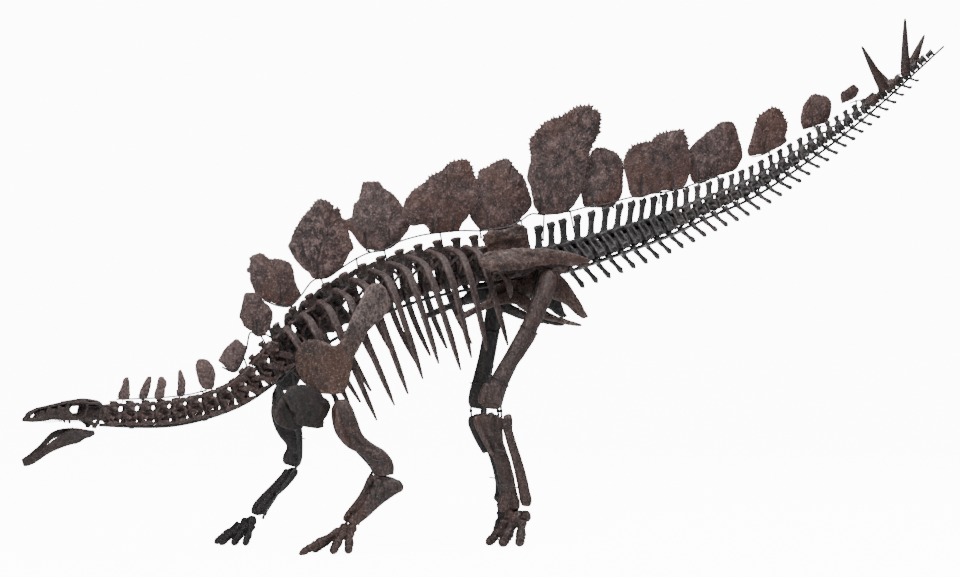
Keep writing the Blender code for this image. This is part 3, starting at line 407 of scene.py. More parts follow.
def fossil(name, hollow, body, worn, stain, stain_amount=0.35, rough=0.5, speck=0.5, scale=1.0, upper=None):
    # mineralised bone: painted shade in the hollows, pale ridges that are partly wear and partly painted
    # highlight, pale flecks that are partly speckle and partly painted glints, rust stains, fine grain and a
    # dull polish
    material = bpy.data.materials.new(name)
    material.use_nodes = True
    tree = material.node_tree
    place = node(tree, "ShaderNodeTexCoord").outputs["Object"]
    height = node(tree, "ShaderNodeAttribute", attribute_name="relief").outputs["Fac"]

    def patches(size, detail, rough_value=0.6):
        return cloud(tree, place, size * scale, detail, rough_value)

    grain = node(tree, "ShaderNodeMath", {0: patches(85.0, 5.0), 1: 0.9, 2: -0.45}, operation="MULTIPLY_ADD")
    broken = node(tree, "ShaderNodeMath", {0: height, 1: grain.outputs[0]}, operation="ADD").outputs[0]
    # the colour follows the kept relief: the hollow colour is painted shade in hollows and grooves, and the
    # worn colour on ridges is partly wear and partly painted highlight
    shade = ramp(tree, broken, (0.26, hollow), (0.50, body), (0.86, worn))
    mottle = ramp(tree, patches(16.0, 8.0, 0.72), (0.36, hollow), (0.52, body), (0.72, worn))
    shade = mix(tree, 0.30, shade, mottle)
    rust = ramp(tree, patches(3.6, 6.0, 0.65), (0.44, BLACK), (0.62, WHITE))
    shade = mix(tree, times(tree, rust, stain_amount), shade, stain)
    if upper:
        # above a height the colour turns to a greyer, paler one without the rust
        level, colour = upper
        split = node(tree, "ShaderNodeSeparateXYZ", {0: place})
        rise = node(tree, "ShaderNodeMapRange", {0: split.outputs["Z"], "From Min": level - 0.06,
                                                 "From Max": level + 0.06, "To Max": 0.8})
        grey = ramp(tree, broken, (0.22, hollow), (0.50, colour), (0.92, worn))
        shade = mix(tree, rise.outputs[0], shade, grey)
    # pale flecks: partly the bone's own speckle, partly painted glints
    flecks_and_glints = ramp(tree, patches(105.0, 4.0, 0.75), (0.56, BLACK), (0.70, WHITE))
    pale = tuple(min(1.0, 1.9 * c + 0.05) for c in worn)
    shade = mix(tree, times(tree, flecks_and_glints, speck), shade, pale)
    dirt = ramp(tree, patches(64.0, 6.0, 0.72), (0.30, WHITE), (0.45, BLACK))
    shade = mix(tree, times(tree, dirt, 0.75), shade, tuple(0.3 * c for c in hollow))
    gloss = node(tree, "ShaderNodeMapRange", {0: broken, "To Min": rough + 0.22, "To Max": rough - 0.10})
    surface = node(tree, "ShaderNodeMath", {0: patches(120.0, 6.0, 0.7), 1: patches(30.0, 5.0)},
                   operation="ADD")
    bump = node(tree, "ShaderNodeBump", {"Strength": 0.85, "Distance": 0.0060, "Height": surface.outputs[0]})
    shader = tree.nodes["Principled BSDF"]
    shader.inputs["Specular IOR Level"].default_value = 0.45
    tree.links.new(shade, shader.inputs["Base Color"])
    tree.links.new(gloss.outputs[0], shader.inputs["Roughness"])
    tree.links.new(bump.outputs[0], shader.inputs["Normal"])
    return material


COLUMN_BONE = fossil("column_bone", (0.0026, 0.0019, 0.002), (0.0227, 0.0145, 0.014),
                     (0.1493, 0.0978, 0.0892),
                     (0.0371, 0.017, 0.0119), 0.30, 0.44, 0.30)


def vertebra(lump, x, pitch, roof_share, arch, blade, knob, lean=0.0, wide=0.92, prong=1.0):
    # body, arch, articular prongs and neural spine; returns its frame and the height of the arch's roof
    centre, along, up, radius, spine, drop = column_at(x)
    if x > 2.2:
        # the last bones are stout for their length
        radius *= 1.0 + 0.85 * min(1.0, (x - 2.2) / 0.4)
    half = pitch * 0.46
    waist = 0.72
    rings = []
    for share, size in ((-1.0, 0.90), (-0.93, 1.06), (-0.74, 1.04), (-0.45, 0.80), (-0.2, waist),
                        (0.2, waist),
                        (0.45, 0.80), (0.74, 1.04), (0.93, 1.06), (1.0, 0.90)):
        ring = []
        for j in range(12):
            turn = 2 * math.pi * j / 12
            ring.append(centre + along * half * share + SIDE * math.cos(turn) * radius * wide * size
                        + up * math.sin(turn) * radius * size)
        rings.append(ring)
    lump.rings(rings)
    roof = radius + roof_share * (spine - radius)
    head = centre + up * spine + along * lean
    for side in (-1, 1):
        out = SIDE * side
        foot = centre + up * radius * 0.55 + out * radius * 0.60
        top = centre + up * roof + out * radius * 0.42 + along * lean * roof_share * 0.6
        lump.rod((foot, arch * pitch * 1.1, 0.009), (foot.lerp(top, 0.5), arch * pitch * 0.86, 0.010),
                 (top, arch * pitch * 1.15, 0.010), wide=along)
        # prongs that lap the next vertebra's
        stout = radius * prong
        lump.rod((top - along * pitch * 0.58 - up * 0.002, stout * 0.20, stout * 0.20),
                 (top - along * pitch * 0.15, stout * 0.30, stout * 0.30),
                 (top + along * pitch * 0.15 + up * 0.002, stout * 0.30, stout * 0.30),
                 (top + along * pitch * 0.56 + up * 0.010, stout * 0.20, stout * 0.20))
    low = centre + up * (roof - 0.012) + along * lean * roof_share * 0.6
    lump.rod((low, blade * pitch * 1.45, 0.013), (low.lerp(head, 0.30), blade * pitch * 0.92, 0.0075),
             (low.lerp(head, 0.72), blade * pitch * 0.95, 0.0085),
             (low.lerp(head, 0.90), blade * pitch * 1.25, knob),
             (head, blade * pitch * 1.0, knob * 0.8), (head + up * 0.003, blade * pitch * 0.6, knob * 0.4),
             wide=along)
    return centre, along, up, radius, spine, roof


NECK_START, NECK_END, GAP = -2.378, -1.372, 0.0006
neck_marks = joints_between(NECK_START, NECK_END, 12)
neck = Lump()
for i, (a, b) in enumerate(zip(neck_marks, neck_marks[1:])):
    x, pitch = (a + b) / 2, b - a
    arch = 0.405 + 0.012 * max(0, i - 6)
    centre, along, up, radius, spine, roof = vertebra(neck, x, pitch, 0.58, arch, 0.25, 0.012,
                                                      0.008 - 0.003 * i)
    for side in (-1, 1):
        out = SIDE * side
        root = centre + out * radius * 0.7 + along * -pitch * 0.22
        knee = centre + out * (radius * 0.8 + 0.002 * i) - up * (radius + 0.004) - along * pitch * 0.26
        tail = knee + along * pitch * 0.92 - up * 0.010
        neck.rod((root, 0.016, 0.010), (knee, 0.018, 0.010), (knee.lerp(tail, 0.45), 0.013, 0.008),
                 (tail, 0.006, 0.005), wide=up)
        wing = centre + up * roof * 0.72 + out * (0.046 + 0.003 * i) + along * 0.004
        neck.rod((centre + up * roof * 0.60 + out * radius * 0.4, 0.018, 0.011), (wing, 0.015, 0.009),
                 (wing + out * 0.006 - up * 0.008, 0.008, 0.005), wide=along)
        neck.rod((centre + out * radius * 0.9 - along * pitch * 0.30 + up * 0.006, 0.011, 0.009),
                 (centre + out * (radius + 0.012) - up * radius * 0.4, 0.012, 0.008), wide=along)
        if i > 7:
            # near the shoulders the ribs are longer and lie back over the next bone
            start = centre + up * roof * 0.55 + out * 0.055 - along * pitch * 0.1
            neck.rod((start, 0.018, 0.010),
                     (start + along * pitch * 0.55 - up * radius * 0.9 + out * 0.012, 0.018, 0.009),
                     (start + along * pitch * 0.95 - up * radius * 1.9 + out * 0.016, 0.012, 0.007),
                     wide=along)
            neck.rod((centre + up * roof * 0.62 + out * 0.020 + along * pitch * 0.2, 0.020, 0.012),
                     (centre + up * roof * 0.90 + out * 0.030 + along * pitch * 0.62, 0.018, 0.010), wide=up)
    # the keel under the body, down to the bar
    keel = centre - up * (radius + 0.008)
    neck.rod((keel - along * pitch * 0.42, 0.012, 0.016), (keel, 0.009, 0.011),
             (keel + along * pitch * 0.42, 0.012, 0.016))
    drop = column_at(x)[5]
    for share in (-0.38, -0.02, 0.30):
        neck.rod((centre - up * radius + along * pitch * share, 0.010, 0.014),
                 (centre - up * (drop - 0.004) + along * pitch * (share + 0.05), 0.006, 0.010))
# the ring bone that carries the skull
neck.bar(((-2.404, 0.0, 0.748, 0.026, 0.022), (-2.388, 0.0, 0.746, 0.040, 0.030),
          (-2.366, 0.0, 0.746, 0.040, 0.030)), UPRIGHT)
NECK_BONE = fossil("neck_bone", (0.0031, 0.0019, 0.0017), (0.0309, 0.0179, 0.0161),
                   (0.1751, 0.1105, 0.1003),
                   (0.0515, 0.0221, 0.0153), 0.40, 0.44, 0.45, 1.3)
bone("neck_bones", neck, NECK_BONE, ["neck_vertebrae"], 0.0040, 2, 0.005, 0.0034, 0.006)


# Back: tall-arched vertebrae with their ribs. Each rib is a flattened, curved bar of dark bone with a
# front edge worn pale, partly wear and partly painted highlight, held to the wing of its vertebra.
BACK_END = -0.170
RIBS = (
    (-1.17, 0.86, 0.165, 0.130), (-1.06, 0.76, 0.210, 0.148), (-0.925, 0.69, 0.255, 0.164),
    (-0.835, 0.77, 0.290, 0.178), (-0.765, 0.83, 0.315, 0.190), (-0.685, 0.91, 0.332, 0.194),
    (-0.595, 0.99, 0.340, 0.196), (-0.465, 0.955, 0.340, 0.198), (-0.400, 1.020, 0.335, 0.198),
    (-0.305, 1.06, 0.320, 0.192), (-0.165, 1.085, 0.290, 0.180), (-0.150, 1.345, 0.290, 0.035),
)
RIB_FORM = ((0.06, 0.76), (0.18, 0.93), (0.32, 1.0), (0.50, 1.0), (0.66, 0.97), (0.84, 0.89), (1.0, 0.80))
RIB_HALF_WIDTH = (0.026, 0.025, 0.024, 0.0225, 0.021, 0.020, 0.0165, 0.006)
RIB_HALF_THICK = (0.014, 0.012, 0.011, 0.010, 0.009, 0.009, 0.008, 0.005)
RIB_BONE = fossil("rib_bone", (0.0041, 0.0026, 0.0026), (0.035, 0.0213, 0.0204), (0.1391, 0.0918, 0.085),
                  (0.0412, 0.0179, 0.0127), 0.35, 0.42, 0.35)
back_marks = joints_between(NECK_END + GAP, BACK_END, 12)
back = Lump()
ribs = {-1: Lump(), 1: Lump()}
for i, (a, b) in enumerate(zip(back_marks, back_marks[1:])):
    x, pitch = (a + b) / 2, b - a
    centre, along, up, radius, spine, roof = vertebra(back, x, pitch, 0.54, 0.40, 0.27, 0.015, -0.004)
    tip_x, tip_z, half, rise = RIBS[i]
    for side in (-1, 1):
        out = SIDE * side
        wing = centre + out * 0.095 + up * rise
        back.rod((centre + up * roof * 0.95 + out * radius * 0.3, 0.030, 0.020),
                 (centre.lerp(wing, 0.60) + up * 0.020, 0.024, 0.016),
                 (wing + out * 0.004, 0.026, 0.014), wide=along)
        # the struts that brace the wing from below
        for lean in (-0.30, 0.28):
            back.rod((centre + up * radius * 0.9 + out * radius * 0.7 + along * pitch * lean, 0.010, 0.009),
                     (centre.lerp(wing, 0.55) - up * 0.012 + along * pitch * lean * 0.5, 0.009, 0.008))
        rows = [(*wing, RIB_HALF_WIDTH[0], RIB_HALF_THICK[0])]
        crest = []
        for (fall, spread), wide, thick in zip(RIB_FORM, RIB_HALF_WIDTH[1:], RIB_HALF_THICK[1:]):
            z = wing.z + (tip_z - wing.z) * fall
            x_here = wing.x + 0.012 + (tip_x - wing.x - 0.012) * fall**1.35
            rows.append((x_here, side * half * spread, z, wide, thick))
            crest.append((x_here - wide * 0.66, side * (half * spread + 0.006), z, 0.0055, 0.0075))
        ribs[side].bar(rows, LENGTHWISE, 12, 4)
        ribs[side].bar(crest, LENGTHWISE, 6, 4)
        neck_of_rib = centre + up * (radius + 0.22 * (roof - radius)) + out * radius * 0.7 - along * 0.006
        ribs[side].rod((Vector(rows[1][:3]), 0.013, 0.008), (neck_of_rib, 0.011, 0.008), wide=along)
bone("back_bones", back, COLUMN_BONE, ["rib_cage"], 0.0052, 3, 0.004, 0.0028, 0.005)
for side, hand in ((-1, "left"), (1, "right")):
    bone(f"ribs_{hand}", ribs[side], RIB_BONE, ["rib_cage"], 0.0052, 3, 0.004, 0.0022, 0.004,
         (1.4, 1.4, 0.35))


# Tail: vertebrae that shrink towards the tip, the front ones with tall spines and broad side wings, and
# a forked chevron bone hung under nearly every joint, astride the steel bar.
SACRUM_END, TAIL_END = 0.100, 2.740
BROAD_TAIL, LAST_CHEVRON = 12, 35
TAIL_BONE = fossil("tail_bone", (0.0012, 0.0011, 0.0014), (0.0095, 0.0086, 0.0094), (0.105, 0.094, 0.098),
                   (0.018, 0.012, 0.010), 0.25, 0.36, 0.25)
PALE_TAIL_BONE = fossil("pale_tail_bone", (0.004, 0.0036, 0.0038), (0.032, 0.027, 0.027),
                        (0.150, 0.132, 0.130),
                        (0.040, 0.026, 0.020), 0.30, 0.42, 0.35)
tail_marks = joints_between(SACRUM_END + GAP, TAIL_END, 39, 0.80)
tail_parts = {"front": Lump(), "middle": Lump(), "end": Lump()}
for i, (a, b) in enumerate(zip(tail_marks, tail_marks[1:])):
    x, pitch = (a + b) / 2, b - a
    share = i / 38
    lump = tail_parts["front" if i < 11 else "middle" if i < 24 else "end"]
    knob = 0.019 - 0.014 * share
    slant = min(0.15 + 0.09 * max(0, i - 2), 0.52 - 0.0075 * i)
    centre, along, up, radius, spine, roof = vertebra(
        lump, x, pitch, 0.20, 0.37, 0.30, knob, slant * (column_at(x)[4] - column_at(x)[3]), 0.92, 0.92)
    drop = column_at(x)[5]
    for side in (-1, 1):
        out = SIDE * side
        if i < BROAD_TAIL:
            reach = 0.150 - 0.0085 * i
            tip = centre + out * reach - up * 0.010
            lump.rod((centre + out * radius * 0.6 + up * 0.004, pitch * 0.30, radius * 0.80),
                     (centre + out * reach * 0.55, pitch * 0.20, radius * 0.50),
                     (tip, pitch * 0.24, radius * 0.36), wide=along)
            # curved ribs from the foot of the spine down over the wing
            for ridge in (-0.26, 0.24):
                place = along * pitch * ridge
                foot = centre + up * (radius * 1.65) + out * 0.008
                lump.rod((foot + place * 0.6 + along * 0.010, 0.007, 0.007),
                         (centre + up * (radius * 1.25) + out * (radius * 0.95) + place, 0.008, 0.008),
                         (centre + up * (radius * 0.55) + out * reach * 0.72 + place, 0.008, 0.008),
                         (tip - up * radius * 0.3 + place, 0.007, 0.007))
        elif i < 24:
            lump.rod((centre + out * radius * 0.7, 0.014, 0.008),
                     (centre + out * (radius + 0.022), 0.009, 0.005),
                     wide=along)
    if 1 <= i <= LAST_CHEVRON:
        fall = i / LAST_CHEVRON
        slope = math.radians(62 - 15 * fall)
        down = along * math.cos(slope) - up * math.sin(slope)
        meet = centre - up * (drop + 0.013) + along * 0.014
        tip = centre - up * (drop + 0.022) + down * (0.088 - 0.060 * fall) + along * 0.020
        slim = 0.0135 - 0.0070 * fall
        for side in (-1, 1):
            top = centre - up * radius * 0.9 + along * 0.002 + SIDE * side * 0.016
            past = centre - up * drop + along * 0.008 + SIDE * side * 0.0165
            lump.rod((top, slim * 1.2, slim * 1.2), (past, slim * 1.2, slim), (meet, slim * 1.2, slim))
        hook = tip + down * 0.012 + along * 0.008 + up * 0.004
        lump.rod((meet, slim * 1.5, 0.009), (meet.lerp(tip, 0.5), slim * 1.1, 0.0065),
                 (tip, slim * 1.6, 0.007),
                 (hook, slim * 1.1, 0.005), wide=along.cross(SIDE) + along * 0.6)
for place, voxel in (("front", 0.0052), ("middle", 0.0046), ("end", 0.0036)):
    bone(f"tail_{place}", tail_parts[place], TAIL_BONE if place == "front" else PALE_TAIL_BONE,
         ["tail_vertebrae"], voxel, 2, 0.003, 0.0026, 0.005)


# Girdles and limbs: heavy, solid bones, swollen at the joints, with long grooves down the shafts. The
# near ones are warm brown-grey and pale along their edges, partly as wear and partly as painted highlight,
# and the far ones are a darker copy, as painted shade.
LIMB_BONE = fossil("limb_bone", (0.0052, 0.0031, 0.0027), (0.0299, 0.017, 0.0153), (0.1339, 0.0833, 0.0748),
                   (0.0453, 0.0161, 0.0093), 0.55, 0.40, 0.55)
# the far-side bones: a darker copy of the limb bone, as painted shade
PAINTED_SHADE_FAR_BONE = fossil("painted_shade_far_bone", (0.0016, 0.0012, 0.0014), (0.0103, 0.0075, 0.0079), (0.0566, 0.0422, 0.044),
                  (0.0165, 0.0088, 0.007), 0.25, 0.38, 0.15)


def copy_of(lump, node):
    # the closed mesh of a node's solid, its loose triangles joined
    bm = bmesh.new()
    bm.from_mesh(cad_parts[node].data)
    bmesh.ops.remove_doubles(bm, verts=bm.verts, dist=0.0001)
    bmesh.ops.join_triangles(bm, faces=bm.faces, angle_face_threshold=0.7, angle_shape_threshold=1.4)
    first = len(lump.points)
    bm.verts.index_update()
    for v in bm.verts:
        lump.points.append(v.co.copy())
    for f in bm.faces:
        lump.faces.append(tuple(first + v.index for v in f.verts))
    bm.free()


def along_path(rows, share):
    # the point a share of the way down rows of (x, y, z)
    spot = share * (len(rows) - 1)
    k = min(int(spot), len(rows) - 2)
    return Vector(rows[k]).lerp(Vector(rows[k + 1]), spot - k)


# Knobs, crests and ridges of each limb bone on the near side, as rows of (x, y, z, half width, half depth).
# The far shin's are the same, moved by SHIFT.
KNOBS = {
    "humerus": (
        ((-1.225, -0.375, 0.760, 0.012, 0.010), (-1.222, -0.384, 0.690, 0.020, 0.014),
         (-1.196, -0.384, 0.620, 0.020, 0.014), (-1.160, -0.376, 0.575, 0.014, 0.010)),
        ((-1.090, -0.374, 0.570, 0.010, 0.008), (-1.010, -0.386, 0.525, 0.012, 0.010),
         (-0.950, -0.382, 0.462, 0.020, 0.014)),
        ((-0.990, -0.320, 0.500, 0.020, 0.018), (-0.975, -0.316, 0.455, 0.026, 0.020)),
        ((-0.935, -0.352, 0.505, 0.014, 0.020), (-0.925, -0.352, 0.455, 0.020, 0.024)),
    ),
    "ulna": (
        ((-0.862, -0.372, 0.356, 0.026, 0.022), (-0.880, -0.374, 0.350, 0.034, 0.026),
         (-0.930, -0.384, 0.330, 0.018, 0.014)),
        ((-0.975, -0.396, 0.345, 0.010, 0.008), (-1.020, -0.394, 0.268, 0.010, 0.008),
         (-1.080, -0.386, 0.205, 0.012, 0.010)),
        ((-0.982, -0.372, 0.385, 0.022, 0.022), (-1.000, -0.372, 0.350, 0.020, 0.020)),
        ((-1.012, -0.350, 0.394, 0.018, 0.020), (-0.959, -0.350, 0.386, 0.022, 0.024),
         (-0.907, -0.350, 0.374, 0.022, 0.022), (-0.862, -0.350, 0.354, 0.018, 0.016)),
    ),
    "femur": (
        ((0.058, -0.300, 1.440, 0.030, 0.020), (0.030, -0.330, 1.400, 0.036, 0.018),
         (-0.010, -0.338, 1.320, 0.018, 0.012)),
        ((-0.090, -0.330, 1.230, 0.010, 0.010), (-0.060, -0.336, 1.160, 0.018, 0.012),
         (-0.110, -0.338, 1.080, 0.018, 0.012), (-0.170, -0.338, 0.990, 0.010, 0.010)),
        ((-0.268, -0.344, 0.880, 0.022, 0.018), (-0.290, -0.350, 0.815, 0.034, 0.024),
         (-0.296, -0.348, 0.775, 0.030, 0.022)),
        ((-0.250, -0.295, 0.880, 0.022, 0.018), (-0.268, -0.286, 0.810, 0.034, 0.024),
         (-0.276, -0.286, 0.772, 0.030, 0.022)),
        ((-0.330, -0.318, 0.880, 0.016, 0.020), (-0.358, -0.318, 0.820, 0.018, 0.026),
         (-0.360, -0.318, 0.780, 0.016, 0.024)),
    ),
    "tibia": (
        ((-0.380, -0.305, 0.700, 0.022, 0.018), (-0.386, -0.312, 0.672, 0.018, 0.016),
         (-0.350, -0.322, 0.590, 0.014, 0.012), (-0.300, -0.322, 0.500, 0.008, 0.008)),
        ((-0.262, -0.324, 0.700, 0.026, 0.018), (-0.268, -0.328, 0.660, 0.020, 0.014),
         (-0.250, -0.322, 0.560, 0.010, 0.010)),
        ((-0.190, -0.322, 0.400, 0.010, 0.008), (-0.180, -0.330, 0.300, 0.016, 0.010),
         (-0.166, -0.332, 0.235, 0.022, 0.014), (-0.168, -0.328, 0.205, 0.020, 0.014)),
        ((-0.222, -0.300, 0.300, 0.012, 0.014), (-0.236, -0.300, 0.235, 0.018, 0.024)),
    ),
    "fibula": (
        ((-0.240, -0.376, 0.712, 0.018, 0.012), (-0.234, -0.376, 0.690, 0.020, 0.012),
         (-0.226, -0.372, 0.640, 0.014, 0.010)),
        ((-0.138, -0.372, 0.330, 0.014, 0.010), (-0.122, -0.374, 0.262, 0.026, 0.014),
         (-0.124, -0.370, 0.226, 0.022, 0.012)),
        ((-0.248, -0.371, 0.690, 0.018, 0.012), (-0.236, -0.371, 0.640, 0.021, 0.014),
         (-0.202, -0.370, 0.540, 0.022, 0.014), (-0.160, -0.368, 0.410, 0.026, 0.016),
         (-0.132, -0.365, 0.290, 0.028, 0.018), (-0.130, -0.364, 0.240, 0.020, 0.014)),
    ),
    "radius": (
        ((-0.992, -0.302, 0.396, 0.022, 0.018), (-1.010, -0.304, 0.368, 0.022, 0.018)),
        ((-1.128, -0.310, 0.206, 0.020, 0.016), (-1.142, -0.310, 0.180, 0.022, 0.016)),
        ((-1.015, -0.318, 0.325, 0.014, 0.012), (-1.052, -0.320, 0.269, 0.020, 0.014),
         (-1.092, -0.320, 0.217, 0.018, 0.014)),
    ),
    "scapula": (), "coracoid": (), "pubis": (), "ischium": (),
}
SHIFT = {"tibia": (0.254, -0.030), "fibula": (0.252, -0.024)}
# Bones built whole from rows along their length: the near upper arm, and the coracoid's two lobes.
SHAPES = {
    "humerus_left": (
        ((-1.196, -0.345, 0.812, 0.024, 0.022), (-1.189, -0.345, 0.773, 0.055, 0.044),
         (-1.174, -0.345, 0.710, 0.068, 0.046), (-1.154, -0.345, 0.657, 0.070, 0.042),
         (-1.123, -0.345, 0.609, 0.060, 0.038), (-1.077, -0.345, 0.571, 0.047, 0.036),
         (-1.026, -0.345, 0.536, 0.047, 0.038), (-0.980, -0.345, 0.498, 0.058, 0.044),
         (-0.953, -0.345, 0.452, 0.064, 0.046), (-0.947, -0.345, 0.408, 0.054, 0.042)),
    ),
    "coracoid_left": (
        ((-1.468, -0.285, 0.786, 0.038, 0.008), (-1.448, -0.285, 0.796, 0.077, 0.014),
         (-1.420, -0.285, 0.796, 0.099, 0.018), (-1.392, -0.285, 0.790, 0.110, 0.019),
         (-1.364, -0.285, 0.779, 0.115, 0.020), (-1.336, -0.285, 0.760, 0.102, 0.020),
         (-1.308, -0.285, 0.749, 0.091, 0.020), (-1.279, -0.285, 0.746, 0.088, 0.019),
         (-1.257, -0.285, 0.746, 0.071, 0.016), (-1.240, -0.285, 0.738, 0.030, 0.010)),
        ((-1.511, -0.245, 0.788, 0.041, 0.008), (-1.494, -0.245, 0.780, 0.082, 0.013),
         (-1.472, -0.245, 0.774, 0.104, 0.014), (-1.444, -0.245, 0.771, 0.118, 0.014),
         (-1.410, -0.252, 0.768, 0.121, 0.014), (-1.370, -0.262, 0.768, 0.110, 0.013)),
    ),
}
# Broad parts of the hip bones: the plate behind the hip socket, the one before it and its long rod.
MASSES = {
    "ischium": (
        ((-0.102, -0.125, 1.381, 0.030, 0.010), (-0.017, -0.125, 1.403, 0.052, 0.016),
         (0.093, -0.125, 1.436, 0.070, 0.020), (0.191, -0.125, 1.398, 0.072, 0.016),
         (0.259, -0.125, 1.343, 0.046, 0.013), (0.315, -0.125, 1.282, 0.036, 0.010),
         (0.359, -0.125, 1.232, 0.010, 0.006)),
    ),
    "pubis": (
        ((-0.253, -0.150, 1.338, 0.014, 0.010), (-0.211, -0.150, 1.349, 0.038, 0.014),
         (-0.162, -0.150, 1.370, 0.060, 0.014), (-0.114, -0.150, 1.387, 0.050, 0.014),
         (-0.053, -0.150, 1.420, 0.030, 0.012)),
        ((-0.089, -0.160, 1.327, 0.012, 0.008), (-0.022, -0.160, 1.283, 0.013, 0.008),
         (0.076, -0.160, 1.244, 0.013, 0.008), (0.168, -0.160, 1.222, 0.012, 0.008),
         (0.285, -0.160, 1.199, 0.008, 0.006)),
    ),
}
RUSTY_BONE = fossil("rusty_bone", (0.0062, 0.0038, 0.0034), (0.0371, 0.0204, 0.0161),
                    (0.1339, 0.085, 0.0723),
                    (0.0515, 0.0187, 0.0102), 0.60, 0.44, 0.55)
SHOULDER_BONE = fossil("shoulder_bone", (0.0082, 0.0051, 0.0043), (0.0474, 0.0247, 0.0179),
                       (0.1751, 0.1173, 0.102),
                       (0.0639, 0.0229, 0.011), 0.60, 0.44, 0.70, 1.2, (1.150, (0.0721, 0.0519, 0.0493)))
DARK_BONE = fossil("dark_bone", (0.0014, 0.0008, 0.0007), (0.0072, 0.0038, 0.0035), (0.048, 0.028, 0.025),
                   (0.013, 0.0045, 0.0030), 0.45, 0.46, 0.22)
NEAR_FINISH = {"coracoid": DARK_BONE, "scapula": SHOULDER_BONE, "ischium": RUSTY_BONE, "pubis": RUSTY_BONE}
for hand, side in (("left", -1), ("right", 1)):
    for name, knobs in KNOBS.items():
        lump = Lump()
        shape = SHAPES.get(f"{name}_{hand}")
        if shape:
            for rows in shape:
                lump.bar(rows, UPRIGHT if name == "coracoid" else LENGTHWISE, 16, 4)
        else:
            copy_of(lump, f"{name}_{hand}")
        shift_x, shift_z = SHIFT.get(name, (0.0, 0.0)) if side > 0 else (0.0, 0.0)
        if side < 0 or name in SHIFT:
            for knob in knobs:
                rows = [(x + shift_x, -side * y, z + shift_z, a, b) for x, y, z, a, b in knob]
                lump.bar(rows, LENGTHWISE, 8, 3)
        if name in MASSES:
            for rows in MASSES[name]:
                lump.bar([(x, -side * y, z, a, b) for x, y, z, a, b in rows],
                         Vector((0.35, 0.0, 0.94)), 10, 3)
        flat = name in ("coracoid", "scapula", "pubis", "ischium")
        slender = name in ("radius", "ulna", "fibula")
        # the far side takes the darker copy, which is painted shade
        finish = NEAR_FINISH.get(name, LIMB_BONE) if side < 0 else PAINTED_SHADE_FAR_BONE
        bone(f"{name}_{hand}_bone", lump, finish, [f"{name}_{hand}"],
             0.0045 if slender else 0.0055, 3, 0.012 if flat else 0.006, 0.0055 if flat else 0.0036,
             0.008 if flat else 0.005, (1.0, 1.0, 0.6) if flat else (1.2, 1.2, 0.35),
             0.0 if shape else 0.0060 if name == "scapula" else 0.0025 if flat else 0.0075 if name == "fibula"
             else 0.0055, 0 if shape else 2)
pelvis = Lump()
copy_of(pelvis, "pelvis")
# the blade's two halves and the roof of the hip socket, on each side
HIP_MASSES = (
        ((-0.365, -0.300, 1.527, 0.010, 0.010), (-0.323, -0.300, 1.549, 0.040, 0.018),
         (-0.246, -0.300, 1.554, 0.050, 0.022), (-0.138, -0.300, 1.560, 0.050, 0.024),
         (-0.035, -0.300, 1.566, 0.046, 0.026), (0.043, -0.300, 1.561, 0.040, 0.026)),
        ((-0.040, -0.285, 1.604, 0.012, 0.010), (0.032, -0.285, 1.583, 0.030, 0.020),
         (0.124, -0.285, 1.567, 0.034, 0.022), (0.215, -0.285, 1.556, 0.030, 0.018),
         (0.308, -0.285, 1.546, 0.010, 0.008)),
        ((0.005, -0.230, 1.540, 0.040, 0.030), (0.102, -0.230, 1.529, 0.046, 0.036),
         (0.188, -0.230, 1.507, 0.030, 0.024)),
)
for side in (-1, 1):
    for rows in HIP_MASSES:
        pelvis.bar([(x, -side * y, z, a, b) for x, y, z, a, b in rows], UPRIGHT, 10, 3)
# the ragged, fused spines
pelvis.bar((
(-0.195, 0.000, 1.640, 0.030, 0.016), (-0.146, 0.000, 1.673, 0.052, 0.018),
         (-0.091, 0.000, 1.668, 0.050, 0.016), (-0.036, 0.000, 1.679, 0.058, 0.018),
         (0.013, 0.000, 1.691, 0.064, 0.016),
         (0.050, 0.000, 1.680, 0.050, 0.014)), UPRIGHT, 10, 3)
bone("hip_bones", pelvis, RUSTY_BONE, ["pelvis"], 0.0052, 2, 0.020, 0.0060, 0.010)

# Feet: a cluster of wrist or ankle stones, then toes of separate waisted bones that end in small hooves.
# Each toe: start, knuckle, tip and half width.
TOES = {
    "forefoot_left": (
        (((-1.205, -0.345, 0.120), (-1.335, -0.362, 0.062), (-1.440, -0.378, 0.012)), 0.0225),
        (((-1.190, -0.368, 0.112), (-1.238, -0.398, 0.060), (-1.272, -0.420, 0.012)), 0.0250),
        (((-1.150, -0.368, 0.112), (-1.170, -0.405, 0.055), (-1.188, -0.436, 0.012)), 0.0240),
        (((-1.190, -0.310, 0.112), (-1.265, -0.286, 0.055), (-1.322, -0.268, 0.012)), 0.0210),
    ),
    "forefoot_right": (
        (((-1.495, 0.360, 0.118), (-1.568, 0.398, 0.058), (-1.616, 0.424, 0.012)), 0.0205),
        (((-1.495, 0.335, 0.112), (-1.566, 0.344, 0.055), (-1.616, 0.350, 0.012)), 0.0225),
        (((-1.475, 0.312, 0.112), (-1.528, 0.296, 0.055), (-1.564, 0.284, 0.012)), 0.0225),
        (((-1.452, 0.292, 0.112), (-1.488, 0.258, 0.055), (-1.514, 0.234, 0.012)), 0.0205),
    ),
    "hindfoot_left": (
        (((-0.148, -0.366, 0.136), (-0.172, -0.404, 0.062), (-0.197, -0.434, 0.012)), 0.0270),
        (((-0.180, -0.335, 0.136), (-0.230, -0.356, 0.062), (-0.278, -0.372, 0.012)), 0.0300),
        (((-0.208, -0.298, 0.136), (-0.262, -0.282, 0.062), (-0.312, -0.267, 0.012)), 0.0270),
    ),
    "hindfoot_right": (
        (((0.110, 0.366, 0.136), (0.122, 0.404, 0.062), (0.131, 0.434, 0.012)), 0.0270),
        (((0.078, 0.335, 0.136), (0.064, 0.356, 0.062), (0.051, 0.372, 0.012)), 0.0300),
        (((0.050, 0.298, 0.136), (0.032, 0.282, 0.062), (0.016, 0.267, 0.012)), 0.0270),
    ),
}
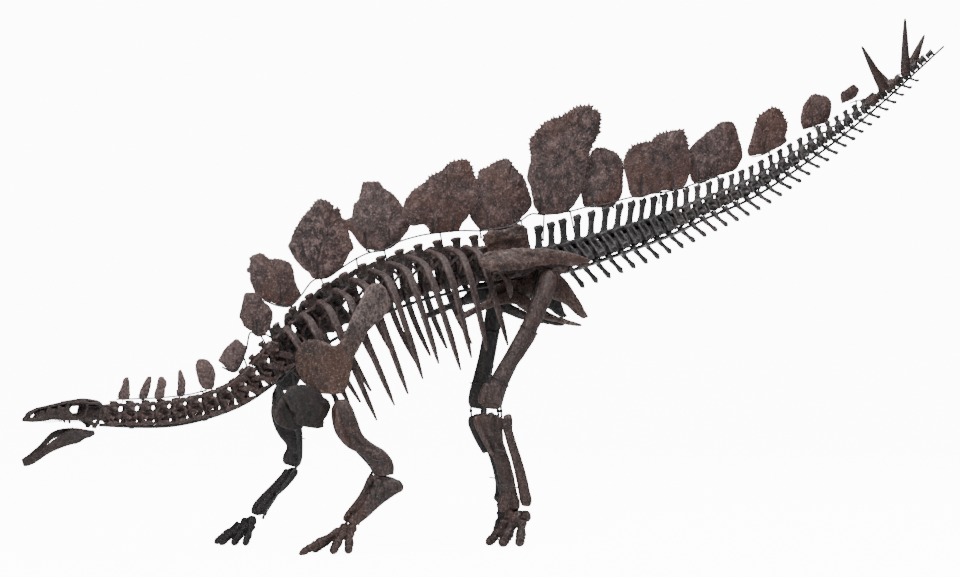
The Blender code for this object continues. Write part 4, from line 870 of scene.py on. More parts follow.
STONES = {
    "forefoot_left": ((-1.136, -0.362, 0.138, 0.030), (-1.180, -0.356, 0.130, 0.030),
                      (-1.158, -0.316, 0.134, 0.032),
                      (-1.198, -0.322, 0.120, 0.024)),
    "forefoot_right": ((-1.430, 0.346, 0.138, 0.028), (-1.470, 0.342, 0.130, 0.028),
                       (-1.450, 0.302, 0.136, 0.030),
                       (-1.488, 0.320, 0.118, 0.022)),
    "hindfoot_left": ((-0.120, -0.350, 0.165, 0.036), (-0.176, -0.346, 0.160, 0.038),
                      (-0.140, -0.300, 0.164, 0.036),
                      (-0.190, -0.304, 0.150, 0.034), (-0.200, -0.326, 0.176, 0.028)),
    "hindfoot_right": ((0.138, 0.350, 0.165, 0.036), (0.082, 0.346, 0.160, 0.038),
                       (0.118, 0.300, 0.164, 0.036),
                       (0.068, 0.304, 0.150, 0.034), (0.058, 0.326, 0.176, 0.028)),
}
# share of the toe, share of its half width: a long bone, a short one and a hoof
TOE_FORM = ((0.0, 1.12), (0.05, 1.18), (0.22, 0.84), (0.40, 1.10), (0.47, 1.12), (0.50, 0.70), (0.53, 1.12),
            (0.62, 0.90), (0.71, 1.06), (0.745, 1.04), (0.77, 0.66), (0.80, 1.0), (0.90, 0.84), (1.0, 0.30))
for foot, toes in TOES.items():
    lump = Lump()
    for x, y, z, size in STONES[foot]:
        lump.rod(((x, y, z - size * 0.85), size * 0.55, size * 0.55),
                 ((x, y, z - size * 0.4), size * 0.95, size),
                 ((x, y, z + size * 0.4), size, size * 0.9),
                 ((x, y, z + size * 0.85), size * 0.6, size * 0.5))
    for path, half in toes:
        rows = []
        for share, size in TOE_FORM:
            spot = along_path(path, share)
            spot.z = max(spot.z, half * size * 0.62)
            rows.append((spot, half * size, half * size))
        lump.rod(*rows, sides=9, steps=2)
    # the far feet take the darker copy, which is painted shade
    finish = LIMB_BONE if "left" in foot else PAINTED_SHADE_FAR_BONE
    bone(f"{foot}_bones", lump, finish, [foot], 0.0034, 2, 0.004, 0.0022, 0.003)


# Skull: long and low, built of thin bars and plates round the nostril, the big eye opening and the temporal
# opening behind it, with leaf-shaped cheek teeth. The lower jaw's two branches meet in a beak.
SKULL_BONE = fossil("skull_bone", (0.0031, 0.0017, 0.0017), (0.0206, 0.0119, 0.011),
                    (0.1442, 0.0935, 0.085),
                    (0.0309, 0.0127, 0.0085), 0.35, 0.36, 0.45, 1.8)
ROOF = ((-2.810, 0.716, 0.008, 0.006), (-2.800, 0.730, 0.014, 0.008), (-2.770, 0.757, 0.021, 0.009),
        (-2.735, 0.776, 0.026, 0.008), (-2.690, 0.784, 0.031, 0.009), (-2.640, 0.794, 0.037, 0.010),
        (-2.575, 0.808, 0.048, 0.009), (-2.530, 0.815, 0.054, 0.009), (-2.490, 0.820, 0.058, 0.009),
        (-2.450, 0.815, 0.058, 0.010), (-2.415, 0.808, 0.052, 0.010), (-2.398, 0.796, 0.042, 0.010))
# bars of one side: rows of (x, y, z, half width, half thickness), the width seen from the side
SKULL_BARS = (
    ((-2.806, 0.012, 0.722, 0.010, 0.006), (-2.770, 0.024, 0.722, 0.013, 0.006),
     (-2.720, 0.032, 0.724, 0.013, 0.006),
     (-2.665, 0.038, 0.733, 0.014, 0.006), (-2.610, 0.045, 0.732, 0.016, 0.006),
     (-2.560, 0.052, 0.728, 0.013, 0.006),
     (-2.505, 0.058, 0.724, 0.013, 0.006), (-2.468, 0.062, 0.708, 0.012, 0.006),
     (-2.450, 0.060, 0.692, 0.012, 0.007)),
    ((-2.790, 0.016, 0.720, 0.010, 0.006), (-2.780, 0.018, 0.745, 0.012, 0.006),
     (-2.760, 0.018, 0.764, 0.010, 0.005)),
    ((-2.675, 0.037, 0.728, 0.036, 0.006), (-2.668, 0.036, 0.756, 0.030, 0.006),
     (-2.660, 0.035, 0.778, 0.030, 0.006)),
    ((-2.612, 0.045, 0.735, 0.030, 0.006), (-2.618, 0.045, 0.766, 0.026, 0.006),
     (-2.612, 0.045, 0.788, 0.028, 0.006)),
    ((-2.572, 0.051, 0.738, 0.024, 0.006), (-2.586, 0.050, 0.768, 0.014, 0.006),
     (-2.578, 0.051, 0.796, 0.018, 0.006)),
    ((-2.735, 0.028, 0.724, 0.022, 0.006), (-2.718, 0.029, 0.742, 0.018, 0.005),
     (-2.712, 0.029, 0.768, 0.012, 0.005)),
    ((-2.590, 0.050, 0.806, 0.008, 0.008), (-2.540, 0.060, 0.811, 0.008, 0.008),
     (-2.490, 0.066, 0.810, 0.009, 0.008)),
    ((-2.488, 0.066, 0.812, 0.011, 0.007), (-2.486, 0.066, 0.780, 0.008, 0.006),
     (-2.496, 0.064, 0.745, 0.009, 0.006),
     (-2.508, 0.060, 0.726, 0.014, 0.006)),
    ((-2.490, 0.066, 0.806, 0.009, 0.007), (-2.440, 0.064, 0.802, 0.008, 0.007),
     (-2.404, 0.056, 0.794, 0.013, 0.007)),
    ((-2.402, 0.054, 0.796, 0.012, 0.007), (-2.412, 0.056, 0.750, 0.009, 0.007),
     (-2.424, 0.056, 0.712, 0.011, 0.008),
     (-2.444, 0.054, 0.684, 0.014, 0.009), (-2.448, 0.053, 0.674, 0.012, 0.010)),
    ((-2.576, 0.046, 0.722, 0.007, 0.005), (-2.574, 0.044, 0.706, 0.006, 0.005),
     (-2.572, 0.043, 0.699, 0.004, 0.004)),
)
skull = Lump()
skull.bar([(x, 0.0, z, half, thick) for x, z, half, thick in ROOF], SIDE, 12, 3)
# braincase, palate and the walls between the openings, deep inside
for rows in (
    ((-2.514, 0.0, 0.772, 0.020, 0.034), (-2.480, 0.0, 0.764, 0.034, 0.046),
     (-2.430, 0.0, 0.756, 0.040, 0.046),
     (-2.400, 0.0, 0.756, 0.036, 0.036), (-2.384, 0.0, 0.760, 0.016, 0.016)),
    ((-2.748, 0.0, 0.746, 0.008, 0.018), (-2.720, 0.0, 0.750, 0.020, 0.024),
     (-2.660, 0.0, 0.756, 0.030, 0.030),
     (-2.600, 0.0, 0.762, 0.034, 0.036), (-2.566, 0.0, 0.766, 0.036, 0.036)),
    ((-2.790, 0.0, 0.724, 0.010, 0.008), (-2.700, 0.0, 0.730, 0.028, 0.008),
     (-2.600, 0.0, 0.736, 0.040, 0.014),
     (-2.500, 0.0, 0.736, 0.046, 0.020)),
    ((-2.590, 0.0, 0.797, 0.040, 0.012), (-2.540, 0.0, 0.800, 0.050, 0.013),
     (-2.490, 0.0, 0.803, 0.054, 0.014)),
):
    skull.bar(rows, SIDE, 10, 3)
for side in (-1, 1):
    for rows in SKULL_BARS:
        upright = abs(rows[-1][2] - rows[0][2]) > abs(rows[-1][0] - rows[0][0])
        wide = LENGTHWISE if upright else UPRIGHT
        skull.bar([(x, side * y, z, a, b) for x, y, z, a, b in rows], wide, 8, 3)
bone("skull_bone", skull, SKULL_BONE, ["skull"], 0.0026, 2, 0.003, 0.0016, 0.003)
# each branch of the jaw: x, y, height of its middle, half height
JAW_NEAR = ((-2.444, 0.058, 0.654, 0.012), (-2.470, 0.058, 0.648, 0.021), (-2.505, 0.058, 0.645, 0.029),
            (-2.540, 0.055, 0.634, 0.038), (-2.575, 0.050, 0.625, 0.037), (-2.640, 0.040, 0.597, 0.030),
            (-2.700, 0.030, 0.559, 0.022), (-2.760, 0.017, 0.521, 0.025), (-2.790, 0.006, 0.509, 0.026),
            (-2.810, 0.0, 0.502, 0.020))
JAW_FAR = ((-2.444, 0.058, 0.652, 0.012), (-2.505, 0.058, 0.650, 0.024), (-2.575, 0.050, 0.652, 0.022),
           (-2.640, 0.040, 0.636, 0.019), (-2.700, 0.030, 0.582, 0.016), (-2.760, 0.017, 0.532, 0.020),
           (-2.790, 0.006, 0.511, 0.024), (-2.808, 0.0, 0.504, 0.019))
jaw = Lump()
for side, rows in ((-1, JAW_NEAR), (1, JAW_FAR)):
    jaw.bar([(x, side * y, z, half, 0.0075) for x, y, z, half in rows], UPRIGHT, 10, 3)
    # a ridge along the outside, and the shelf that carries the teeth
    jaw.bar([(x, side * (y + 0.005), z - half * 0.45, 0.006, 0.006) for x, y, z, half in rows[:-2]],
            UPRIGHT, 6, 3)
    jaw.bar([(x, side * (y - 0.003), z + half * 0.82, 0.005, 0.008) for x, y, z, half in rows[2:-2]],
            UPRIGHT, 6, 3)
bone("jaw_bone", jaw, SKULL_BONE, ["lower_jaw"], 0.0026, 2, 0.003, 0.0018, 0.003)
TEETH = (
    (((-2.690, 0.031, 0.712), (-2.620, 0.041, 0.717), (-2.585, 0.046, 0.714),
      (-2.520, 0.053, 0.712)), -1, 17),
    (((-2.530, 0.050, 0.674), (-2.575, 0.047, 0.664), (-2.640, 0.037, 0.630),
      (-2.690, 0.029, 0.590)), 1, 15),
)


def teeth_tree():
    # stands a small leaf-shaped tooth, cut from a cone, at every point of a mesh
    tree, given = start_tree("tooth_row", Size="Float", Material="Material")
    tooth = node(tree, "GeometryNodeMeshCone", {"Vertices": 7, "Side Segments": 2, "Radius Top": 0.0012,
                                                "Radius Bottom": 0.0030, "Depth": 0.0085})
    chance = node(tree, "FunctionNodeRandomValue", {2: 0.75, 3: 1.15, "Seed": 5})
    stand = node(tree, "GeometryNodeInstanceOnPoints", {
        "Points": given["Geometry"], "Instance": tooth.outputs["Mesh"],
        "Rotation": stored(tree, "turn", "FLOAT_VECTOR"),
        "Scale": times(tree, chance.outputs[1], given["Size"])})
    return end_tree(tree, given, stand.outputs[0])


TOOTH_ENAMEL = fossil("tooth_enamel", (0.02, 0.015, 0.012), (0.10, 0.080, 0.065), (0.28, 0.24, 0.20),
                      (0.07, 0.045, 0.030), 0.3, 0.30, 0.20, 3.0)
TOOTH_ROW = teeth_tree()
for jaw_name, (line, way, count) in zip(("upper", "lower"), TEETH):
    points, turns = [], []
    for side in (-1, 1):
        for k in range(count):
            spot = along_path(line, k / (count - 1))
            points.append((spot.x, side * spot.y, spot.z))
            turns.append((0.0 if way > 0 else math.pi, 0.12 * math.sin(k * 2.4), 0.0))
    mesh = bpy.data.meshes.new(f"{jaw_name}_teeth")
    mesh.from_pydata(points, [], [])
    layer = mesh.attributes.new("turn", "FLOAT_VECTOR", "POINT")
    layer.data.foreach_set("vector", [value for turn in turns for value in turn])
    teeth = bpy.data.objects.new(f"{jaw_name}_teeth", mesh)
    bpy.context.collection.objects.link(teeth)
    row = teeth.modifiers.new("row", "NODES")
    row.node_group = TOOTH_ROW
    set_inputs(row, Size=1.0, Material=TOOTH_ENAMEL)
    plain(teeth)
    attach(teeth, "root")


# Tail spikes: two pairs of grooved bony cones, each on a swollen, rough foot that sits against the small
# bones near the tip of the tail.
for n in range(1, 5):
    lump = Lump()
    copy_of(lump, f"tail_spike_{n}")
    side = -1 if n % 2 else 1
    x = 2.322 if n < 3 else 2.450
    centre, along, up, radius, spine, drop = column_at(x)
    foot = centre + up * 0.022 + SIDE * side * 0.020
    lump.rod((foot - along * 0.050, 0.008, 0.010), (foot - along * 0.022, 0.018, 0.020),
             (foot + along * 0.010, 0.019, 0.022), (foot + along * 0.040, 0.008, 0.010), sides=10, steps=3)
    bone(f"spike_{n}", lump, LIMB_BONE, [f"tail_spike_{n}"], 0.0032, 2, 0.003, 0.0022, 0.003,
         (1, 1, 0.3), 0.0055, 2)


# Back plates: upright bony plates in two staggered rows, thick at the foot and thin and ragged at the rim,
# with fine grooves that branch up from the foot, darkened as painted shade. Brown-grey, flecked pale (partly
# speckle, partly painted glints), with rusty patches.
PLATE_BONE = fossil("plate_bone", (0.0087, 0.0052, 0.0047), (0.057, 0.034, 0.0312), (0.186, 0.1215, 0.1123),
                    (0.0694, 0.0247, 0.0146), 0.55, 0.36, 0.75)
SMALL_PLATE_BONE = fossil("small_plate_bone", (0.021, 0.0126, 0.012), (0.0893, 0.0576, 0.0552),
                          (0.1995, 0.1395, 0.1334), (0.0788, 0.0378, 0.0294), 0.35, 0.48, 0.60)
# base x and z of the middle of the foot, row (left -1, right 1), outline in centimetres from it
PLATES = (
    (-2.275, 0.826, -1, ((-3, 0), (-1.5, 6), (0, 10), (1.5, 11), (3, 10), (3, 0))),
    (-2.160, 0.820, 1, ((-2, 0), (-1.5, 4), (0, 7), (2.5, 11), (4, 11.5), (5, 11), (4.5, 6), (2.5, 0))),
    (-2.085, 0.822, -1, ((-2.5, 0), (-1.5, 6), (-0.5, 10), (1, 11.5), (3, 11), (4.5, 8), (3.5, 4),
        (2.5, 0))),
    (-1.950, 0.832, 1, ((-2, 0), (-1.5, 6), (-1.2, 12), (0, 14), (1, 13), (3, 8), (3, 5), (2, 0))),
    (-1.815, 0.864, -1, ((-5, 16), (-1, 16), (2, 13.5), (4, 10), (4, 4), (3.5, 1), (1, 0), (-1.5, 0),
        (-4, 2), (-6, 6), (-7, 10), (-6.8, 13.5))),
    (-1.640, 0.956, 1, ((0, 17), (2.5, 16.5), (5, 14), (7, 13), (6, 10), (4, 5), (2, 2.5), (-2, 0),
        (-8, 4), (-10, 6), (-8, 9), (-6, 12), (-3, 15))),
    (-1.540, 1.140, -1, ((-8, 23), (-5, 23.5), (-1, 23), (3, 19), (6, 16), (8, 13), (8, 8), (6, 3),
        (2, 0), (-1, 1), (-4, 3), (-8, 5), (-10, 9), (-11, 11), (-10, 16), (-9, 20))),
    (-1.370, 1.294, 1, ((-18, 26), (-16, 27.5), (-12, 29), (-9, 28), (-6, 26), (-1, 26), (5, 24), (7, 20),
        (8, 14), (10, 10), (11, 7), (9, 4.5), (5, 1), (1, 0), (-2, 1), (-10, 4), (-14, 6), (-16, 9),
        (-18, 14), (-18, 18), (-20, 19.5), (-18, 22))),
    (-1.195, 1.448, -1, ((-4, 40), (-2, 42), (0, 43), (2, 42), (6, 40.5), (7.5, 37), (10, 38), (12, 35),
        (13, 32), (16, 31), (17, 24), (20, 17), (18, 14), (14, 7), (11, 4), (6, 1), (2, 0), (-3, 0),
        (-6, 3), (-9, 5), (-14, 10), (-17, 15), (-18, 17), (-17, 20), (-13, 28), (-9, 34), (-6, 37))),
    (-0.810, 1.592, 1, ((-9, 37), (-7, 38), (-2, 38.5), (1, 38), (4, 35), (10, 31), (15, 24), (16, 20),
        (19, 16), (18, 13), (15, 9), (9, 3), (4, 1), (0, 0), (-4, 1), (-9, 2), (-15, 9), (-20, 15.5),
        (-18, 18), (-16, 19), (-15, 22), (-14, 26), (-11, 29))),
    (-0.450, 1.696, -1, ((-25, 18), (-23, 20), (-21, 23), (-17, 25), (-13, 28), (-10, 31), (-4, 34),
        (2, 38.5), (5, 39.5), (10, 40.5), (13, 39.5), (15, 35), (19, 25), (18, 17), (13, 9), (10, 6),
        (8, 2), (3, 0.5), (-9, 0), (-11, 2.5), (-14, 4.5), (-21, 4), (-26, 10), (-26, 14))),
    (-0.090, 1.714, 1, ((-13, 29), (-11, 33), (-5, 36), (1, 39), (7, 39.5), (9, 37), (14, 32), (16, 29),
        (18, 25), (21, 15), (15, 8), (10, 3), (6, 0.5), (-10, 0), (-16, 5), (-18, 9), (-16, 13),
        (-14, 18))),
    (0.225, 1.802, -1, ((-18, 38), (-17, 42), (-12, 48), (-9, 51), (-4, 53), (1, 54.5), (6, 57),
        (12, 60.5), (19, 61), (21, 59), (25, 57), (25, 49), (22, 42), (20, 37), (17, 26), (15, 14),
        (11, 6), (8, 3), (4, 1), (-8, 0), (-14, 4), (-17, 14), (-19, 19), (-19, 24), (-17, 32))),
    (0.530, 1.848, 1, ((-5, 28), (-2, 33), (3, 34), (7, 33), (10, 32), (14, 29), (16, 25), (16, 12),
        (15, 8), (12, 3.5), (8, 0.5), (-6, 0), (-10, 2), (-11, 12), (-8, 21))),
    (0.755, 1.902, -1, ((-12, 21), (-10, 26), (-6, 29.5), (-1, 31), (6, 32.5), (9, 35.5), (12, 37),
        (19, 38), (24, 39.5), (26, 37.5), (29, 30), (31, 18), (29, 9), (25, 6), (12, 4), (3, 1), (-2, 0),
        (-6, 1), (-8, 4), (-10, 11), (-12, 16))),
    (1.180, 1.994, 1, ((-7, 18), (-4, 22), (1, 26), (5, 29), (10, 32), (14, 35), (19, 36), (24, 35),
        (27, 27), (29, 19), (28, 14), (23, 8), (10, 4), (6, 2), (1, 0), (-3, 0), (-6, 3), (-7, 11))),
    (1.505, 2.152, -1, ((-6, 5), (-4, 10), (-2, 17), (0, 22), (3, 25), (8, 28), (11, 28.5), (15, 27),
        (18, 22), (20, 19), (19, 12), (20, 9.5), (18, 7.5), (10, 3.5), (6, 2), (-4, 0), (-6, 2))),
    (1.910, 2.318, 1, ((-6, 5), (-5, 11), (-3, 15), (0, 18.5), (4, 21), (7, 21), (12, 20), (15, 17),
        (15, 13), (13, 6), (5, 2.5), (-3, 0), (-5, 1))),
    (2.130, 2.474, -1, ((-5, 5.5), (-2, 8), (3, 11), (6, 10), (8, 8), (6, 4), (4, 2.5), (0, 1), (-4, 0))),
)
SPIKY_RIMS = {8: 0.007, 9: 0.013, 10: 0.006, 11: 0.018, 12: 0.013, 13: 0.022, 14: 0.010, 15: 0.020, 16: 0.007,
              17: 0.016, 18: 0.006}
ROW_OFFSET, ROW_LEAN = 0.042, 0.06
PLATE_HALF, RIM_HALF = 0.013, 0.0016


def smooth_loop(points, spacing):
    # a smooth closed line through points, evenly stepped
    fine = []
    count = len(points)
    for k in range(count):
        near = [points[(k + m) % count] for m in (-1, 0, 1, 2)]
        fine.extend(curve_point(*near, s / 8) for s in range(8))
    lengths = [0.0]
    for a, b in zip(fine, fine[1:] + fine[:1]):
        lengths.append(lengths[-1] + math.dist(a, b))
    steps = max(36, round(lengths[-1] / spacing))
    loop, k = [], 0
    for n in range(steps):
        want = lengths[-1] * n / steps
        while lengths[k + 1] < want:
            k += 1
        t = (want - lengths[k]) / max(lengths[k + 1] - lengths[k], 1e-9)
        a, b = fine[k], fine[(k + 1) % len(fine)]
        loop.append((a[0] + (b[0] - a[0]) * t, a[1] + (b[1] - a[1]) * t))
    return loop


def ragged(loop, top, spike, seed):
    # a chipped rim, with thorns along the upper margin where the plate has them
    chance = random.Random(seed)
    count = len(loop)
    rim, thorn, run = [], 0.0, 0
    for k, (x, z) in enumerate(loop):
        ahead, behind = loop[(k + 1) % count], loop[k - 1]
        dx, dz = ahead[0] - behind[0], ahead[1] - behind[1]
        size = math.hypot(dx, dz) or 1.0
        out = (-dz / size, dx / size)
        if run <= 0:
            run = chance.randint(3, 5)
            thorn = chance.uniform(0.35, 1.0) * spike
        run -= 1
        peak = (0.40, 1.0, 0.40, 0.0, 0.0)[run]
        above = min(1.0, max(0.0, (z / top - 0.42) / 0.25))
        push = thorn * peak * above + 0.0022 * noise.noise(Vector((x * 90, seed, z * 90))) \
            + 0.004 * noise.noise(Vector((x * 22, seed, z * 22)))
        rim.append((x + out[0] * push, z + out[1] * push))
    return rim


def groove(x, z, seed, scale):
    # branching grooves that fan up from the foot, in metres of depth
    angle = math.atan2(x, z + 0.05)
    far = math.hypot(x, z + 0.05)
    bend = noise.noise(Vector((x * 14, seed, z * 14))) * 0.22
    wave = noise.noise(Vector(((angle + bend) * 9.0, seed * 3.1, far * 3.0)))
    fine = noise.noise(Vector(((angle + bend) * 24.0, seed * 7.7, far * 6.0)))
    dents = noise.noise(Vector((x * 26, seed + 4.0, z * 26)))
    cut = -max(0.0, 0.10 - abs(wave)) * 0.018 - max(0.0, 0.10 - abs(fine)) * 0.012
    crumple = (abs(noise.noise(Vector((x * 68, seed + 9.0, z * 68)))) - 0.18) * 0.0026
    return (cut + dents * 0.0020 + crumple) * scale


for n, (base_x, base_z, row, outline) in enumerate(PLATES, 1):
    top = max(p[1] for p in outline) * 0.01
    large = top > 0.2
    offset = ROW_OFFSET if large else ROW_OFFSET * 0.45
    full = PLATE_HALF if large else 0.0065
    loop = smooth_loop([(x * 0.01, z * 0.01) for x, z in outline], 0.0052 if large else 0.004)
    rim = ragged(loop, top, SPIKY_RIMS.get(n, 0.0), n)
    cx = sum(p[0] for p in loop) / len(loop)
    cz = sum(p[1] for p in loop) / len(loop)
    rounds = 26 if large else 12
    count = len(rim)
    points, carved, faces = [], [], []
    rough = 1.9 if n == 9 else 1.25 if n in (11, 13) else 1.0

    def plate_point(x, z, depth):
        bow = 0.012 * noise.noise(Vector((x * 3.0, n * 1.7, z * 3.0))) * min(1.0, z / 0.1)
        lift = row * (offset + max(z, 0.0) * ROW_LEAN) + depth + bow
        return (base_x + x, lift, base_z + z)

    for face in (-1, 1):
        for j in range(1, rounds):
            share = 1.0 - (j / rounds) ** 1.15
            swell = (1.0 - share**2.4) ** 0.75
            for k in range(count):
                x = cx + (rim[k][0] - cx) * share
                z = cz + (rim[k][1] - cz) * share
                foot = 1.0 + 0.5 * math.exp(-((z / 0.05) ** 2)) * (1.0 if large else 0.4)
                cut = groove(x, z, n + 0.37 * face, rough if large else 0.5) * min(1.0, swell * 1.6)
                half = RIM_HALF + (full - RIM_HALF) * swell * foot + cut
                points.append(plate_point(x, z, face * max(half, 0.0008)))
                carved.append(cut)
        points.append(plate_point(cx, cz, face * full))
        carved.append(0.0)
    side_size = (rounds - 1) * count + 1
    edge = len(points)
    for k in range(count):
        points.append(plate_point(rim[k][0], rim[k][1], 0.0))
        carved.append(0.0018)
    for f, start in enumerate((0, side_size)):
        for k in range(count):
            m = (k + 1) % count
            quads = [(edge + k, edge + m, start + m, start + k)]
            for j in range(rounds - 2):
                a, b = start + j * count, start + (j + 1) * count
                quads.append((a + k, a + m, b + m, b + k))
            a = start + (rounds - 2) * count
            quads.append((a + k, a + m, start + side_size - 1))
            for quad in quads:
                faces.append(quad if f == 0 else quad[::-1])
    mesh = bpy.data.meshes.new(f"back_plate_{n}")
    mesh.from_pydata(points, [], faces)
    # the groove depths and a raised value on the rim are kept, so the bone's colour darkens the grooves as
    # painted shade and makes the rim pale
    layer = mesh.attributes.new("carved", "FLOAT", "POINT")
    layer.data.foreach_set("value", carved)
    bm = bmesh.new()
    bm.from_mesh(mesh)
    bmesh.ops.recalc_face_normals(bm, faces=bm.faces)
    bm.to_mesh(mesh)
    bm.free()
    finish = PLATE_BONE if n > 6 else SMALL_PLATE_BONE
    bone(f"back_plate_{n}", mesh, finish, [f"plate_{n:02d}"], 0, 0,
         0.003 * rough, 0.0016 * rough, 0.003)

# Armature: round black steel bar, rod and wire, bent to follow the bones, brazed at the joints and painted.
# The wires have short stems down to the spines and small prongs that hold the plates.
def tube_tree():
    # a round tube along a line of points, its half width kept with each point, with collars where asked
    tree, given = start_tree("steel_tube", Collar="Float", Material="Material")
    line = node(tree, "GeometryNodeMeshToCurve", {0: given["Geometry"]}).outputs[0]
    ring = node(tree, "GeometryNodeCurvePrimitiveCircle", {"Resolution": 10, "Radius": 1.0})
    tube = node(tree, "GeometryNodeCurveToMesh", {"Curve": line, "Profile Curve": ring.outputs[0],
                                                  "Scale": stored(tree, "half"), "Fill Caps": True})
    spots = node(tree, "GeometryNodeCurveToPoints", {0: line}, mode="EVALUATED")
    sleeve = node(tree, "GeometryNodeMeshCylinder", {"Vertices": 12, "Radius": 1.5, "Depth": 2.6})
    stand = node(tree, "GeometryNodeInstanceOnPoints", {
        "Points": spots.outputs["Points"], "Selection": stored(tree, "collar"),
        "Instance": sleeve.outputs["Mesh"],
        "Rotation": spots.outputs["Rotation"], "Scale": times(tree, stored(tree, "half"), given["Collar"])})
    both = node(tree, "GeometryNodeJoinGeometry", {0: stand.outputs[0]})
    tree.links.new(tube.outputs[0], both.inputs[0])
    return end_tree(tree, given, both.outputs[0])


STEEL_TUBE = tube_tree()


def steel_paint(name, paint, worn, bare, rough):
    # satin paint over steel, rubbed thin along its length, with dust and small chips to the metal
    material = bpy.data.materials.new(name)
    material.use_nodes = True
    tree = material.node_tree
    place = node(tree, "ShaderNodeTexCoord").outputs["Object"]

    def patches(size, detail):
        return cloud(tree, place, size, detail, 0.65)

    chips = ramp(tree, patches(170.0, 4.0), (0.64, BLACK), (0.68, WHITE))
    rubbed = ramp(tree, patches(24.0, 6.0), (0.38, paint), (0.66, worn))
    gloss = node(tree, "ShaderNodeMapRange",
                 {0: patches(60.0, 4.0), "To Min": rough - 0.12, "To Max": rough + 0.18})
    bump = node(tree, "ShaderNodeBump", {"Strength": 0.3, "Distance": 0.0008, "Height": patches(240.0, 5.0)})
    shader = tree.nodes["Principled BSDF"]
    tree.links.new(mix(tree, chips, rubbed, bare), shader.inputs["Base Color"])
    tree.links.new(chips, shader.inputs["Metallic"])
    tree.links.new(gloss.outputs[0], shader.inputs["Roughness"])
    tree.links.new(bump.outputs[0], shader.inputs["Normal"])
    return material


BLACK_STEEL = steel_paint("black_steel", (0.006, 0.006, 0.007), (0.030, 0.030, 0.033),
                          (0.32, 0.31, 0.30), 0.42)
GREY_STEEL = steel_paint("grey_steel", (0.20, 0.20, 0.21), (0.34, 0.34, 0.35), (0.50, 0.49, 0.48), 0.40)


def steelwork(name, lines, finish, replaces=(), collar=1.0):
    # lines of (points, half width, which points carry a collar)
    points, halves, collars, edges = [], [], [], []
    for path, half, sleeves in lines:
        first = len(points)
        for k, p in enumerate(path):
            share = k / max(len(path) - 1, 1)
            points.append(tuple(p))
            halves.append(half(share) if callable(half) else half)
            collars.append(1.0 if k in sleeves else 0.0)
        edges.extend((first + k, first + k + 1) for k in range(len(path) - 1))
    mesh = bpy.data.meshes.new(name)
    mesh.from_pydata(points, edges, [])
    for label, values in (("half", halves), ("collar", collars)):
        layer = mesh.attributes.new(label, "FLOAT", "POINT")
        layer.data.foreach_set("value", values)
    piece = bpy.data.objects.new(name, mesh)
    bpy.context.collection.objects.link(piece)
    tube = piece.modifiers.new("tube", "NODES")
    tube.node_group = STEEL_TUBE
    set_inputs(tube, Collar=collar, Material=finish)
    plain(piece)
    piece.data.shade_smooth()
    piece.data.set_sharp_from_angle(angle=math.radians(50))
    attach(piece, "root")
    if replaces:
        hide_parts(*replaces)
    return piece


rail = []
for k in range(121):
    x = -2.400 + 5.200 * k / 120
    centre, along, up, radius, spine, drop = column_at(x)
    rail.append(centre - up * drop)
steelwork("spine_bar", [(rail, lambda share: 0.0092 - 0.0032 * max(0.0, share - 0.6) / 0.4,
                         range(4, 118, 9))], BLACK_STEEL, ["spine_rail"], 0.95)
NECK_WIRE = (-2.310, -2.200, -2.090, -1.980, -1.880, -1.790)
neck_wire = []
for x in NECK_WIRE:
    centre, along, up, radius, spine, drop = column_at(x)
    neck_wire.append(tuple(centre + up * (spine + 0.009)))
neck_lines = [(smooth_path(neck_wire), 0.0042, ())]
for x, y in ((-2.275, -0.018), (-2.160, 0.018), (-2.085, -0.018), (-1.950, 0.018), (-1.815, -0.018)):
    centre, along, up, radius, spine, drop = column_at(x)
    foot = centre + up * (spine + 0.009)
    neck_lines.append((((foot.x - 0.012, 0.0, foot.z), (foot.x - 0.010, y * 0.7, foot.z + 0.012),
                        (foot.x - 0.008, y * 1.3, foot.z + 0.030)), 0.0028, ()))
    neck_lines.append(((tuple(foot), tuple(centre + up * (spine - 0.008))), 0.0030, (0,)))
steelwork("neck_plate_wire", neck_lines, BLACK_STEEL, ["plate_wire_neck"], 1.1)
BACK_WIRE = (
    (-1.727, 0.981), (-1.649, 0.957), (-1.595, 1.060), (-1.570, 1.160), (-1.525, 1.143), (-1.479, 1.150),
    (-1.448, 1.140), (-1.470, 1.240), (-1.500, 1.330), (-1.423, 1.306), (-1.345, 1.300), (-1.285, 1.352),
    (-1.211, 1.438), (-1.125, 1.455), (-1.049, 1.504), (-0.960, 1.556), (-0.886, 1.588), (-0.798, 1.604),
    (-0.716, 1.646), (-0.620, 1.675), (-0.520, 1.694), (-0.346, 1.712), (-0.219, 1.713), (-0.054, 1.735),
    (0.019, 1.768), (0.090, 1.808), (0.167, 1.806), (0.329, 1.826), (0.430, 1.850), (0.560, 1.868),
    (0.650, 1.894), (0.800, 1.926), (0.905, 1.938), (1.028, 1.960), (1.125, 1.992), (1.275, 2.034),
)
wire_lines = [(smooth_path([(x, 0.0, z) for x, z in BACK_WIRE]), 0.0050, ())]
# stems from the wire down to the spines, then the short loose wires further back: x, z, x, z
STEMS = (
    (-1.609, 1.040, -1.575, 0.950), (-1.510, 1.146, -1.455, 1.060), (-1.337, 1.300, -1.318, 1.236),
    (-1.165, 1.448, -1.136, 1.380), (-0.960, 1.556, -0.950, 1.500), (-0.798, 1.602, -0.781, 1.550),
    (-0.466, 1.700, -0.448, 1.620), (-0.225, 1.712, -0.219, 1.676), (0.025, 1.770, 0.068, 1.614),
    (0.167, 1.804, 0.161, 1.664), (0.329, 1.824, 0.366, 1.666), (0.593, 1.878, 0.600, 1.850),
    (0.905, 1.938, 0.892, 1.880), (1.275, 2.030, 1.282, 1.996), (1.612, 2.180, 1.639, 2.100),
    (1.941, 2.336, 1.955, 2.290), (2.201, 2.492, 2.207, 2.446),
)
for x, z, low_x, low_z in STEMS:
    wire_lines.append((((x, 0.0, z), (low_x * 0.6 + x * 0.4, 0.0, low_z * 0.6 + z * 0.4),
                        (low_x, 0.0, low_z)),
                       0.0046, (0, 2)))
